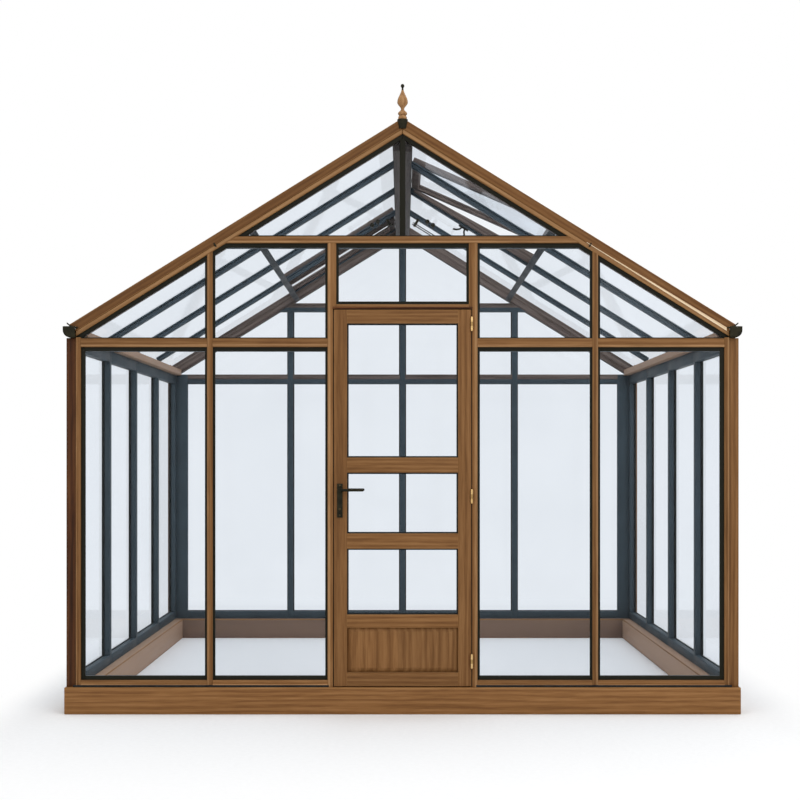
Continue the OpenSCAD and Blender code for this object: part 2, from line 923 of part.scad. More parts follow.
module vent_stay() {
    a = purlin_q - stay_t / 2;
    b = purlin_q + stay_t / 2;
    color(bronze) right_slope() translate([0, vent_y(right_vent_bay) + stay_w / 2, -roof_plate_at])
        rotate([90, 0, 0])
            linear_extrude(stay_w)
                polygon([
                    [a, 0], [b, 0], [b, (b - vent_from) * tan(vent_open)],
                    [a, (a - vent_from) * tan(vent_open)]
                ]);
}

// Finials on the verge boards, each in a socket saddled over the apex
module saddled() {
    difference() {
        children();
        sheet(plate_at - verge_t, big) under_roof(0);
    }
}

// Half the turned outline, in shares of the greatest radius and of the height
module finial_outline() {
    r = finial_d / 2;
    h = finial_h;
    intersection() {
        union() {
            square([r * 0.82, h * 0.09]);
            translate([0, h * 0.09]) square([r * 0.62, h * 0.05]);
            translate([0, h * 0.13]) square([r * 0.86, h * 0.07]);
            polygon([
                [0, h * 0.19], [r * 0.6, h * 0.19], [r * 0.32, h * 0.235], [r * 0.30, h * 0.27],
                [r * 0.62, h * 0.33], [r * 0.93, h * 0.38], [r, h * 0.42], [r * 0.96, h * 0.46],
                [r * 0.78, h * 0.53], [r * 0.5, h * 0.62], [r * 0.3, h * 0.72], [r * 0.18, h * 0.82],
                [r * 0.15, h * 0.9], [0, h * 0.95]
            ]);
            translate([0, h - r * 0.35]) circle(r * 0.35);
        }
        square([r, h]);
    }
}

module finials() {
    color(oak) on_gables() saddled()
        translate([0, finial_y, socket_top]) rotate_extrude() finial_outline();
}

module finial_sockets() {
    color(bronze) on_gables() saddled()
        translate([0, finial_y, socket_top - socket_h])
            cylinder(h = socket_h, d1 = socket_foot_d, d2 = socket_head_d);
}

// Door leaf, in the front wall's frame
module door_threshold() {
    color(bronze) on_front()
        block(
            [-post_x + post_body_in, post_x - post_body_in], [rebate_depth, wall_t],
            [base_h, base_h + door_gap + stop_lap]
        );
}

module door_grooves() {
    block(
        [-inner_half - tongue, inner_half + tongue], [glass_front, glass_back],
        [panel_foot - tongue, door_top - door_top_rail_h + tongue]
    );
}

module door_stiles() {
    color(oak) on_front()
        difference() {
            both_ways()
                block([inner_half, door_w / 2], [0, door_t], [door_foot, door_top]);
            door_grooves();
            lever_axis() cylinder(h = 4 * door_t, d = lever_d + 2 * spindle_clear, center = true);
        }
}

module door_rails() {
    color(oak) on_front()
        for (i = [0:4])
            difference() {
                block([-inner_half, inner_half], [0, door_t], door_rail_spans[i]);
                if (i > 0) groove_in_rail(door_rail_spans[i][0]);
                if (i < 4) groove_in_rail(door_rail_spans[i][1]);
            }
}

module groove_in_rail(z) {
    block([-big, big], [glass_front, glass_back], [z - tongue, z + tongue]);
}

module door_panel() {
    reach = tongue - panel_play;
    color(oak_light) on_front() {
        block(
            [-inner_half - reach, inner_half + reach], [glass_front, glass_back],
            [panel_foot - reach, panel_top + reach]
        );
        for (way = [-1, 1])
            translate([0, door_t / 2, (panel_foot + panel_top) / 2])
                scale([1, way, 1])
                    rotate([-90, 0, 0])
                        panel_field(2 * (inner_half - panel_play), door_panel_h - 2 * panel_play);
    }
}

// Fielded face of the panel: bevelled all round, standing off the tongue
module panel_field(w, h) {
    t = panel_field_t / 2;
    hull() {
        translate([-w / 2, -h / 2, 0]) cube([w, h, glass_t / 2 + panel_play]);
        translate([-w / 2 + panel_border, -h / 2 + panel_border, 0])
            cube([w - 2 * panel_border, h - 2 * panel_border, t]);
    }
}

module door_panes() {
    color(clear) on_front()
        for (i = [1:3])
            block(
                [-inner_half - tongue + pane_gap, inner_half + tongue - pane_gap],
                [glass_front, glass_back],
                [
                    door_rail_spans[i][1] - tongue + pane_gap,
                    door_rail_spans[i + 1][0] + tongue - pane_gap
                ]
            );
}

// Hinges: leaves in the gap at the door's edge, knuckles in front of it
module at_hinges() {
    for (z = hinge_levels) on_front() translate([hinge_x, -hinge_out, z]) children();
}

module knuckle(z0, z1) translate([0, 0, z0]) cylinder(h = z1 - z0, d = knuckle_d);

module hinge_plate(x, z) {
    block(x, [hinge_out + knuckle_clear, hinge_out + door_t - hinge_leaf_back], [-hinge_h / 2, hinge_h / 2]);
    block(x, [0, hinge_out + 2 * knuckle_clear], z);
}

module hinge_frame_leaves() {
    x = [door_gap / 2 - hinge_leaf_t, door_gap / 2];
    outer = [[-hinge_h / 2, -knuckle_h / 2], [knuckle_h / 2, hinge_h / 2]];
    color(brass) at_hinges() {
        for (z = outer) {
            knuckle(z[0], z[1]);
            hinge_plate(x, z);
        }
        cylinder(h = hinge_h, d = hinge_pin_d, center = true);
        for (way = [-1, 1]) translate([0, 0, way * hinge_h / 2]) sphere(d = knuckle_tip_d);
    }
}

module hinge_door_leaves() {
    x = [-door_gap / 2, -door_gap / 2 + hinge_leaf_t];
    z = [-knuckle_h / 2 + knuckle_gap, knuckle_h / 2 - knuckle_gap];
    color(brass) at_hinges()
        difference() {
            union() {
                knuckle(z[0], z[1]);
                hinge_plate(x, z);
            }
            cylinder(h = 2 * hinge_h, d = hinge_pin_d + 2 * running_gap, center = true);
        }
}

// Lever handles on one spindle, with a plate on each face of the door
module lever_axis() translate([lock_x, door_t / 2, door_foot + lever_z]) rotate([90, 0, 0]) children();

module lock_plates() {
    color(bronze) on_front()
        for (way = [-1, 1])
            translate([0, door_t / 2, 0]) scale([1, way, 1]) translate([0, door_t / 2, 0])
                lock_plate();
}

module lock_plate() {
    z0 = door_foot + lever_z - lock_plate_drop;
    r = lock_plate_w / 2;
    difference() {
        union() {
            block([lock_x - r, lock_x + r], [0, lock_plate_t], [z0, z0 + lock_plate_h]);
            translate([lock_x, lock_plate_t, z0 + key_boss_z])
                rotate([-90, 0, 0]) cylinder(h = key_boss_t, d = key_boss_d);
        }
        translate([lock_x, 0, door_foot + lever_z])
            rotate([90, 0, 0]) cylinder(h = big, d = lever_d + 2 * running_gap, center = true);
    }
}

module lever() {
    reach = door_t / 2 + neck_out;
    color(bronze) on_front() lever_axis() {
        cylinder(h = 2 * reach, d = lever_d, center = true);
        for (way = [-1, 1])
            translate([0, 0, way * (reach - lever_d / 2)]) {
                rotate([0, 90, 0]) cylinder(h = lever_len, d = grip_d);
                translate([lever_len, 0, 0]) sphere(d = grip_d);
            }
    }
}

base_ends();
base_sides();
corner_posts();
front_uprights();
front_rails();
front_upright_caps();
front_rail_caps();
front_panes();
back_uprights();
back_rails();
back_upright_caps();
back_rail_caps();
back_panes();
side_uprights();
side_rails();
side_upright_caps();
side_rail_caps();
side_panes();
gable_inner_rails();
rake_rails();
rafters();
verge_boards();
verge_mouldings();
eaves_plates();
gutters();
ridge_beam();
ridge_cap();
purlins();
roof_bars();
roof_panes();
vent_sills();
vent_sashes();
vent_panes();
vent_stay();
finials();
finial_sockets();
door_threshold();
door_stiles();
door_rails();
door_panel();
door_panes();
hinge_frame_leaves();
hinge_door_leaves();
lock_plates();
lever();
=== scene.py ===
"""Looks of a glass greenhouse: oiled timber, coated bars, clear panes, door furniture and roof fittings."""

import logging
import math
from collections.abc import Callable, Sequence
from dataclasses import dataclass
from enum import Enum

import bmesh
import bpy
from mathutils import Matrix, Vector


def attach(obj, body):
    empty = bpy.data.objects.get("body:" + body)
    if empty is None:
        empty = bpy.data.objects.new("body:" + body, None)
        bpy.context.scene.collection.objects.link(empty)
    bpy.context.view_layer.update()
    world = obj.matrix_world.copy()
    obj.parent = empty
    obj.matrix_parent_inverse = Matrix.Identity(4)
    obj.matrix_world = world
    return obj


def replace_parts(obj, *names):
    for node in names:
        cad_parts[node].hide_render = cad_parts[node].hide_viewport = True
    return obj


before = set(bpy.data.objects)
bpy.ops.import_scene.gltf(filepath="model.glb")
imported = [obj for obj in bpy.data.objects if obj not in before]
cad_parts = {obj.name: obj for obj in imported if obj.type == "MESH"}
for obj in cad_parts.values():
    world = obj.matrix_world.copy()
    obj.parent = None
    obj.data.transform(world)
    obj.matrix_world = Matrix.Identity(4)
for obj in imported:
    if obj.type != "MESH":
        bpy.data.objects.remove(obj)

LOG = logging.getLogger("greenhouse")

Colour = tuple[float, float, float]
Point = tuple[float, float, float]
Span = tuple[float, float]
Socket = bpy.types.NodeSocket


class Body(Enum):
    """The bodies that pieces ride on."""

    HOUSE = "house"
    DOOR = "door"
    LEVER = "lever"


class Slot(Enum):
    """The record's material slots, passed along with new pieces but not used."""

    TIMBER = "timber"
    DARK_METAL = "dark_metal"
    BRONZE = "bronze_metal"


class Grain(Enum):
    """The way the timber's grain runs."""

    ALONG_X = "x"
    ALONG_Y = "y"
    ALONG_Z = "z"
    ALONG_RAKE = "rake"


class Side(Enum):
    """The two slopes of the roof, by the sign of X."""

    LEFT = -1
    RIGHT = 1


class Outlook(Enum):
    """The two ways that an upright face can look, by the sign of Y."""

    FRONT = -1
    BACK = 1

    def frame(self, at: Point) -> Matrix:
        """Gives a frame on a face that looks this way.

        Args:
            at: The frame's origin.

        Returns:
            The frame, with its Z out of the face.
        """
        return Matrix.Translation(at) @ Matrix.Rotation(-self.value * math.pi / 2, 4, "X")


@dataclass(frozen=True)
class HouseSizes:
    """Places that the pieces of the house share, in metres."""

    apex_z: float = 3.1746
    pitch: float = math.radians(31.8)
    middle_y: float = 1.435
    front_y: float = -0.053
    back_y: float = 2.923
    side_x: float = 1.788
    reach_x: float = 1.806
    glass_depth: float = 0.024
    roof_glass_depth: float = 0.026
    bead_rise: float = 0.0028
    bay: float = 0.7295
    bays: int = 4
    first_bar_y: float = 0.7055

    def roof_z(self, x: float, depth: float) -> float:
        """Gives the height of the roof line lowered by a depth.

        Args:
            x: Distance from the middle of the gable.
            depth: Depth below the roof line, square to the slope.

        Returns:
            The height above the ground.
        """
        return self.apex_z - depth / math.cos(self.pitch) - math.tan(self.pitch) * abs(x)

    def bar_y(self, bar: int) -> float:
        """Gives the place of a roof bar along the ridge, where 0 is the front gable."""
        return self.first_bar_y + self.bay * (bar - 1)

    def slope(self, side: Side) -> Matrix:
        """Gives the frame of a slope: X down the slope, Y along the ridge, Z out of the roof.

        Args:
            side: The slope.

        Returns:
            The matrix from the slope's frame to the house's frame.
        """
        turn = Matrix.Rotation(self.pitch, 4, "Y")
        mirror = Matrix.Diagonal((side.value, 1, 1, 1))
        return mirror @ Matrix.Translation((0, 0, self.apex_z)) @ turn


HOUSE = HouseSizes()


class ShaderGraph:
    """The nodes of one material or world, added and linked by name."""

    def __init__(self, owner: bpy.types.Material | bpy.types.World) -> None:
        """Starts an empty graph.

        Args:
            owner: The material or world that the nodes belong to.
        """
        owner.use_nodes = True
        self.owner = owner
        self.tree = owner.node_tree
        self.tree.nodes.clear()

    @classmethod
    def of_material(cls, name: str) -> "ShaderGraph":
        """Starts the graph of a new material."""
        return cls(bpy.data.materials.new(name))

    def node(self, kind: str, inputs: dict | None = None, **settings: object) -> bpy.types.Node:
        """Adds a node.

        Args:
            kind: Blender's name of the node type.
            inputs: A value or a socket for each named input.
            settings: Properties of the node.

        Returns:
            The new node.
        """
        made = self.tree.nodes.new(kind)
        for key, value in settings.items():
            setattr(made, key, value)
        for key, value in (inputs or {}).items():
            if isinstance(value, Socket):
                self.tree.links.new(value, made.inputs[key])
            else:
                made.inputs[key].default_value = value
        return made

    def combine(self, a: Socket | float, b: Socket | float, operation: str = "ADD") -> Socket:
        """Combines two numbers.

        Args:
            a: The first number.
            b: The second number.
            operation: The Math node's operation.

        Returns:
            The result's socket.
        """
        return self.node("ShaderNodeMath", {0: a, 1: b}, operation=operation).outputs[0]

    def times(self, a: Socket | float, b: Socket | float) -> Socket:
        """Multiplies two numbers."""
        return self.combine(a, b, "MULTIPLY")

    def less(self, a: Socket | float, b: Socket | float) -> Socket:
        """Takes the second number from the first."""
        return self.combine(a, b, "SUBTRACT")

    def greatest(self, first: Socket, *others: Socket) -> Socket:
        """Gives the greatest of some numbers.

        Args:
            first: The first number.
            others: The other numbers.

        Returns:
            The result's socket.
        """
        for other in others:
            first = self.combine(first, other, "MAXIMUM")
        return first

    def unsigned(self, value: Socket) -> Socket:
        """Gives a number without its sign."""
        return self.node("ShaderNodeMath", {0: value}, operation="ABSOLUTE").outputs[0]

    def place(self) -> Socket:
        """Gives the place on the object as a vector."""
        return self.node("ShaderNodeTexCoord").outputs["Object"]

    def axes(self) -> tuple[Socket, Socket, Socket]:
        """Gives the place on the object as three numbers."""
        return tuple(self.node("ShaderNodeSeparateXYZ", {0: self.place()}).outputs)

    def scaled(self, parts: Sequence[Socket], scales: Point) -> Socket:
        """Joins three coordinates, each times its own scale.

        Args:
            parts: The three coordinates.
            scales: The three scales.

        Returns:
            The vector's socket.
        """
        x, y, z = (self.times(part, scale) for part, scale in zip(parts, scales))
        return self.node("ShaderNodeCombineXYZ", {0: x, 1: y, 2: z}).outputs[0]

    def noise(
        self, at: Socket, scale: float, detail: float = 3.0, rough: float = 0.5, bend: float = 0.0
    ) -> Socket:
        """Adds a noise pattern.

        Args:
            at: Where the pattern is read.
            scale: Its scale.
            detail: Its octaves.
            rough: The share of the finer octaves.
            bend: Its distortion.

        Returns:
            The pattern's socket, about 0 to 1.
        """
        values = {"Vector": at, "Scale": scale, "Detail": detail, "Roughness": rough, "Distortion": bend}
        return self.node("ShaderNodeTexNoise", values).outputs["Fac"]

    def ramp(self, value: Socket, stops: Sequence[tuple[float, Colour]]) -> Socket:
        """Colours a number.

        Args:
            value: The number.
            stops: Places and colours of the ramp.

        Returns:
            The colour's socket.
        """
        made = self.node("ShaderNodeValToRGB", {0: value})
        elements = made.color_ramp.elements
        while len(elements) < len(stops):
            elements.new(0.5)
        for element, (place, colour) in zip(elements, stops):
            element.position = place
            element.color = (*colour, 1)
        return made.outputs[0]

    def spread(self, value: Socket, low: float, high: float) -> Socket:
        """Maps a pattern of 0.3 to 0.7 onto a range.

        Args:
            value: The pattern.
            low: The value at 0.3.
            high: The value at 0.7.

        Returns:
            The mapped socket.
        """
        span = {"Value": value, "From Min": 0.3, "From Max": 0.7, "To Min": low, "To Max": high}
        return self.node("ShaderNodeMapRange", span).outputs[0]

    def mixed(self, share: Socket, a: Socket | tuple, b: Socket | tuple) -> Socket:
        """Mixes two colours.

        Args:
            share: The share of the second colour.
            a: The first colour.
            b: The second colour.

        Returns:
            The colour's socket.
        """
        return self.node("ShaderNodeMix", {0: share, 6: a, 7: b}, data_type="RGBA").outputs[2]

    def toned(self, colour: Socket, tone: Socket) -> Socket:
        """Makes a colour lighter or darker.

        Args:
            colour: The colour.
            tone: Its brightness, 1 for no change.

        Returns:
            The colour's socket.
        """
        return self.node("ShaderNodeHueSaturation", {"Value": tone, "Color": colour}).outputs[0]

    def outside_share(self) -> Socket:
        """Tells the outside of the glass from the inside.

        Returns:
            A socket that is 1 outside the glass and 0 inside it.
        """
        x, y, z = self.axes()
        out = self.unsigned(x)
        front = self.less(HOUSE.front_y + HOUSE.glass_depth, y)
        back = self.less(y, HOUSE.back_y - HOUSE.glass_depth)
        side = self.less(out, HOUSE.side_x - HOUSE.glass_depth)
        roof = self.combine(z, self.times(out, math.tan(HOUSE.pitch)))
        roof = self.less(roof, HOUSE.roof_z(0, HOUSE.roof_glass_depth))
        return self.combine(self.greatest(front, back, side, roof), 0.0, "GREATER_THAN")

    def seen(self) -> Socket:
        """Gives 1 where the camera looks, also in a mirror or through glass, and 0 for other light."""
        path = self.node("ShaderNodeLightPath").outputs
        return self.greatest(path["Is Camera Ray"], path["Is Glossy Ray"], path["Is Transmission Ray"])

    def bump(self, height: Socket, depth: float, strength: float) -> Socket:
        """Turns a pattern into relief.

        Args:
            height: The pattern.
            depth: The relief's depth in metres.
            strength: Its strength.

        Returns:
            The normal's socket.
        """
        values = {"Height": height, "Distance": depth, "Strength": strength}
        return self.node("ShaderNodeBump", values).outputs[0]

    def shader(self, **inputs: object) -> bpy.types.Node:
        """Adds the surface shader; keyword names use underscores for spaces."""
        named = {key.replace("_", " "): value for key, value in inputs.items()}
        return self.node("ShaderNodeBsdfPrincipled", named)

    def close(self, surface: Socket) -> bpy.types.Material | bpy.types.World:
        """Links the surface to the output.

        Args:
            surface: The shader's socket.

        Returns:
            The material or world.
        """
        of_world = isinstance(self.owner, bpy.types.World)
        self.node("ShaderNodeOutputWorld" if of_world else "ShaderNodeOutputMaterial", {"Surface": surface})
        return self.owner


@dataclass(frozen=True)
class TimberFinish:
    """Oiled timber with straight grain, growth rings and pores; scales run along and across the grain."""

    name: str
    grain: Grain
    dark: Colour = (0.132, 0.056, 0.016)
    middle: Colour = (0.192, 0.087, 0.028)
    light: Colour = (0.252, 0.124, 0.045)
    spread: Span = (0.86, 1.10)
    gloss: float = 0.15
    # The inside colour paints the light and shade on timber inside the glass.
    inside: Colour | None = None
    inside_share: float = 0.72
    board_shift: Point = (9.0, 0.7, 1.3)
    broad_scale: Point = (2.0, 34.0, 34.0)
    fine_scale: Point = (7.0, 170.0, 170.0)
    ring_scale: Point = (0.4, 9.0, 9.0)
    figure_shares: Point = (0.46, 0.40, 0.14)
    pore_depth: float = 0.0007

    def directions(self, graph: ShaderGraph) -> tuple[Socket, Socket, Socket]:
        """Gives the coordinates along and across the grain.

        Args:
            graph: The material's graph.

        Returns:
            The coordinate along the grain and the two across it.
        """
        x, y, z = graph.axes()
        if self.grain is Grain.ALONG_X:
            return x, y, z
        if self.grain is Grain.ALONG_Y:
            return y, x, z
        if self.grain is Grain.ALONG_Z:
            return z, x, y
        out = graph.unsigned(x)
        c, s = math.cos(HOUSE.pitch), math.sin(HOUSE.pitch)
        down = graph.less(graph.times(out, c), graph.times(z, s))
        over = graph.combine(graph.times(out, s), graph.times(z, c))
        return down, y, over

    def rings(self, graph: ShaderGraph, parts: Sequence[Socket]) -> Socket:
        """Adds the growth rings.

        Args:
            graph: The material's graph.
            parts: The coordinates along and across the grain.

        Returns:
            The pattern's socket.
        """
        values = {
            "Vector": graph.scaled(parts, self.ring_scale),
            "Scale": 1.4,
            "Distortion": 7.0,
            "Detail": 3.0,
            "Detail Scale": 1.1,
        }
        made = graph.node("ShaderNodeTexWave", values, wave_type="RINGS", rings_direction="X")
        return made.outputs["Fac"]

    def build(self) -> bpy.types.Material:
        """Builds the material, with each board's grain in a place of its own.

        Returns:
            The material.
        """
        graph = ShaderGraph.of_material(self.name)
        board = graph.node("ShaderNodeNewGeometry").outputs["Random Per Island"]
        parts = [
            graph.combine(part, graph.times(board, shift))
            for part, shift in zip(self.directions(graph), self.board_shift)
        ]
        broad = graph.noise(graph.scaled(parts, self.broad_scale), 1.0, 4, 0.6, 0.9)
        fine = graph.noise(graph.scaled(parts, self.fine_scale), 1.0, 4, 0.6, 0.3)
        rings = self.rings(graph, parts)
        shares = [graph.times(part, share) for part, share in zip((broad, fine, rings), self.figure_shares)]
        figure = graph.combine(graph.combine(shares[0], shares[1]), shares[2])
        colour = graph.ramp(figure, ((0.36, self.dark), (0.5, self.middle), (0.66, self.light)))
        low, high = self.spread
        tone = graph.node("ShaderNodeMapRange", {"Value": board, "To Min": low, "To Max": high}).outputs[0]
        colour = graph.toned(colour, tone)
        # Painted light and shade: inside the glass the colour leans to the inside colour.
        if self.inside:
            share = graph.times(graph.less(1.0, graph.outside_share()), self.inside_share)
            colour = graph.mixed(share, colour, (*self.inside, 1))
        pores = graph.combine(fine, graph.times(rings, 0.35))
        shader = graph.shader(
            Base_Color=colour,
            Roughness=graph.spread(fine, 0.46, 0.68),
            Specular_IOR_Level=self.gloss,
            Normal=graph.bump(pores, self.pore_depth, 0.35),
        )
        return graph.close(shader.outputs[0])


@dataclass(frozen=True)
class CoatedMetal:
    """Powder-coated bars: bronze black outside the glass, slate inside it."""

    name: str
    inside: Colour = (0.040, 0.058, 0.070)
    outside: Colour = (0.0085, 0.0080, 0.0038)
    gloss: float = 0.12

    def build(self) -> bpy.types.Material:
        """Builds the material with a fine orange-peel texture and a little chalking.

        Returns:
            The material.
        """
        graph = ShaderGraph.of_material(self.name)
        chalk = graph.noise(graph.place(), 5.0, 4, 0.6)
        peel = graph.noise(graph.place(), 420.0, 2, 0.5)
        colour = graph.mixed(graph.outside_share(), (*self.inside, 1), (*self.outside, 1))
        shader = graph.shader(
            Base_Color=graph.toned(colour, graph.spread(chalk, 0.86, 1.14)),
            Roughness=graph.spread(chalk, 0.42, 0.60),
            Specular_IOR_Level=self.gloss,
            Normal=graph.bump(peel, 0.0003, 0.2),
        )
        return graph.close(shader.outputs[0])


@dataclass(frozen=True)
class WornMetal:
    """Metal with a hand-worn sheen: bronze or brass."""

    name: str
    low: Colour
    high: Colour
    metallic: float = 1.0
    rough: Span = (0.28, 0.46)
    gloss: float = 0.5
    blotch_scale: float = 24.0
    scratch_scale: float = 720.0

    def build(self) -> bpy.types.Material:
        """Builds the material with blotches and fine scratches.

        Returns:
            The material.
        """
        graph = ShaderGraph.of_material(self.name)
        blotch = graph.noise(graph.place(), self.blotch_scale, 4, 0.6, 0.4)
        scratch = graph.noise(graph.place(), self.scratch_scale, 2, 0.6)
        shader = graph.shader(
            Base_Color=graph.ramp(blotch, ((0.35, self.low), (0.65, self.high))),
            Metallic=self.metallic,
            Roughness=graph.spread(blotch, *self.rough),
            Specular_IOR_Level=self.gloss,
            Normal=graph.bump(scratch, 0.0002, 0.25),
        )
        return graph.close(shader.outputs[0])


@dataclass(frozen=True)
class ClearGlass:
    """Float glass: a faint blue-grey tint, a little waviness and a film of dust."""

    name: str
    clean: Colour = (0.946, 0.959, 0.974)
    dusty: Colour = (0.932, 0.946, 0.962)
    mirror: Colour = (0.93, 0.96, 1.0)
    most_mirror: float = 0.14

    def build(self) -> bpy.types.Material:
        """Builds the material as a tinted clear sheet under a mirror sheen.

        Returns:
            The material.
        """
        graph = ShaderGraph.of_material(self.name)
        film = graph.noise(graph.place(), 1.3, 4, 0.55, 0.5)
        waves = graph.noise(graph.place(), 2.2, 1, 0.3)
        tint = graph.ramp(film, ((0.35, self.clean), (0.65, self.dusty)))
        through = graph.node("ShaderNodeBsdfTransparent", {"Color": tint})
        sheen = graph.shader(
            Base_Color=(*self.mirror, 1),
            Metallic=1.0,
            Roughness=graph.spread(film, 0.02, 0.07),
            Normal=graph.bump(waves, 0.002, 0.15),
        )
        glance = graph.node("ShaderNodeFresnel", {"IOR": 1.25}).outputs[0]
        front = graph.less(1.0, graph.node("ShaderNodeNewGeometry").outputs["Backfacing"])
        share = graph.combine(graph.times(glance, front), self.most_mirror, "MINIMUM")
        surface = graph.node("ShaderNodeMixShader", {0: share, 1: through.outputs[0], 2: sheen.outputs[0]})
        return graph.close(surface.outputs[0])


@dataclass(frozen=True)
class BlackRubber:
    """Glazing gasket: dull black with a powdery bloom."""

    name: str
    black: Colour = (0.010, 0.011, 0.011)
    bloom: Colour = (0.028, 0.030, 0.031)
    gloss: float = 0.12

    def build(self) -> bpy.types.Material:
        """Builds the material with a bloom in patches and a fine grit.

        Returns:
            The material.
        """
        graph = ShaderGraph.of_material(self.name)
        bloom = graph.noise(graph.place(), 30.0, 4, 0.65)
        grit = graph.noise(graph.place(), 500.0)
        shader = graph.shader(
            Base_Color=graph.ramp(bloom, ((0.35, self.black), (0.7, self.bloom))),
            Roughness=graph.spread(bloom, 0.6, 0.85),
            Specular_IOR_Level=self.gloss,
            Normal=graph.bump(grit, 0.0002, 0.3),
        )
        return graph.close(shader.outputs[0])


Finish = TimberFinish | CoatedMetal | WornMetal | ClearGlass | BlackRubber


class Finishes:
    """All finishes of the house, each built once."""

    def __init__(self) -> None:
        """Builds nothing yet."""
        self.made: dict[str, bpy.types.Material] = {}

    def get(self, finish: Finish) -> bpy.types.Material:
        """Gives the material of a finish.

        Args:
            finish: The finish.

        Returns:
            Its material, built at the first call.
        """
        if finish.name not in self.made:
            self.made[finish.name] = finish.build()
        return self.made[finish.name]


FINISHES = Finishes()
WORN_EDGE = {"dark": (0.165, 0.074, 0.022), "middle": (0.235, 0.112, 0.036), "light": (0.310, 0.160, 0.060)}
# Pale oiled timber for the verge mouldings and the finials; on the caps' beads it is a painted highlight.
PALE = {"dark": (0.205, 0.100, 0.037), "middle": (0.300, 0.158, 0.065), "light": (0.370, 0.207, 0.094)}
# Painted shade: timber darkened to stand for shade, on the left corner posts and the strip under the
# transom.
SHADED = {"dark": (0.030, 0.009, 0.002), "middle": (0.072, 0.023, 0.006), "light": (0.118, 0.044, 0.013)}
GREYED = {"dark": (0.060, 0.042, 0.034), "middle": (0.120, 0.088, 0.074), "light": (0.175, 0.135, 0.116)}
# Painted shade: dark timber for the ridge beam, standing for the shade it lies in.
DUSKY = {"dark": (0.027, 0.020, 0.016), "middle": (0.054, 0.041, 0.035), "light": (0.082, 0.064, 0.055)}
# Painted shade: a darker oiled timber for the verge boards, where less light falls high up.
UPPER_SHADE = {"dark": (0.100, 0.040, 0.011), "middle": (0.146, 0.063, 0.019), "light": (0.192, 0.090, 0.031)}
# Painted light: the base timber is lighter than the walls' timber, where more light falls low down.
BASE = {"dark": (0.152, 0.064, 0.019), "middle": (0.217, 0.098, 0.031), "light": (0.282, 0.138, 0.050)}
# Painted highlight: near-white tones for the lit strip below the right verge.
HIGHLIGHT_TONES = {"dark": (0.62, 0.44, 0.26), "middle": (0.80, 0.62, 0.42), "light": (0.92, 0.76, 0.56)}
# Painted light and shade for timber inside the glass: the lit colour on inner faces that face the light, the
# shaded one on the base ends' inner faces, which face away.
INSIDE_LIGHT = (0.460, 0.312, 0.225)
INSIDE_SHADE = (0.180, 0.128, 0.104)
ROOF_SLATE = (0.052, 0.074, 0.090)

Timber = dict[Grain, TimberFinish]


def in_every_grain(name: str, **colours: Colour) -> Timber:
    """Gives one kind of timber, with a finish for each way that its grain can run.

    Args:
        name: The kind's name.
        colours: Its colours, where they aren't the oiled timber's.

    Returns:
        The finishes by grain.
    """
    return {grain: TimberFinish(f"{name}_{grain.value}", grain, **colours) for grain in Grain}


TIMBER = in_every_grain("oiled_timber")
UPPER_SHADE_TIMBER = in_every_grain("upper_shade_timber", **UPPER_SHADE)
PALE_TIMBER = in_every_grain("pale_timber", **PALE)
BASE_TIMBER = in_every_grain("base_timber", inside=INSIDE_LIGHT, **BASE)
END_TIMBER = in_every_grain("end_timber", inside=INSIDE_SHADE, **BASE)
INSIDE_LIT_TIMBER = in_every_grain("inside_lit_timber", inside=INSIDE_LIGHT)
GREY_TIMBER = in_every_grain("greyed_timber", **GREYED)
DUSKY_TIMBER = in_every_grain("dusky_timber", **DUSKY)
SHADED_TIMBER = in_every_grain("shaded_timber", **SHADED)
EDGE_TIMBER = in_every_grain("worn_edge", **WORN_EDGE)
PAINTED_HIGHLIGHT = TimberFinish("painted_highlight_timber", Grain.ALONG_RAKE, spread=(0.98, 1.05), **HIGHLIGHT_TONES)
COAT = CoatedMetal("coated_bars")
ROOF_COAT = CoatedMetal("coated_roof_bars", ROOF_SLATE, ROOF_SLATE)
PURLIN_COAT = CoatedMetal("coated_purlins", (0.011, 0.016, 0.020))
BRONZE = WornMetal("black_bronze", (0.008, 0.007, 0.003), (0.024, 0.021, 0.010), 0.3, (0.40, 0.58), 0.14)
AGED_BRONZE = WornMetal("aged_bronze", (0.045, 0.032, 0.014), (0.090, 0.068, 0.034), 0.8, (0.34, 0.52))
BRASS = WornMetal("polished_brass", (0.56, 0.36, 0.14), (0.78, 0.56, 0.27), 1.0, (0.22, 0.38))
DULL_BRASS = WornMetal("dull_brass", (0.30, 0.18, 0.065), (0.46, 0.30, 0.12), 1.0, (0.36, 0.52))
GLASS = ClearGlass("float_glass")
RUBBER = BlackRubber("gasket_rubber")


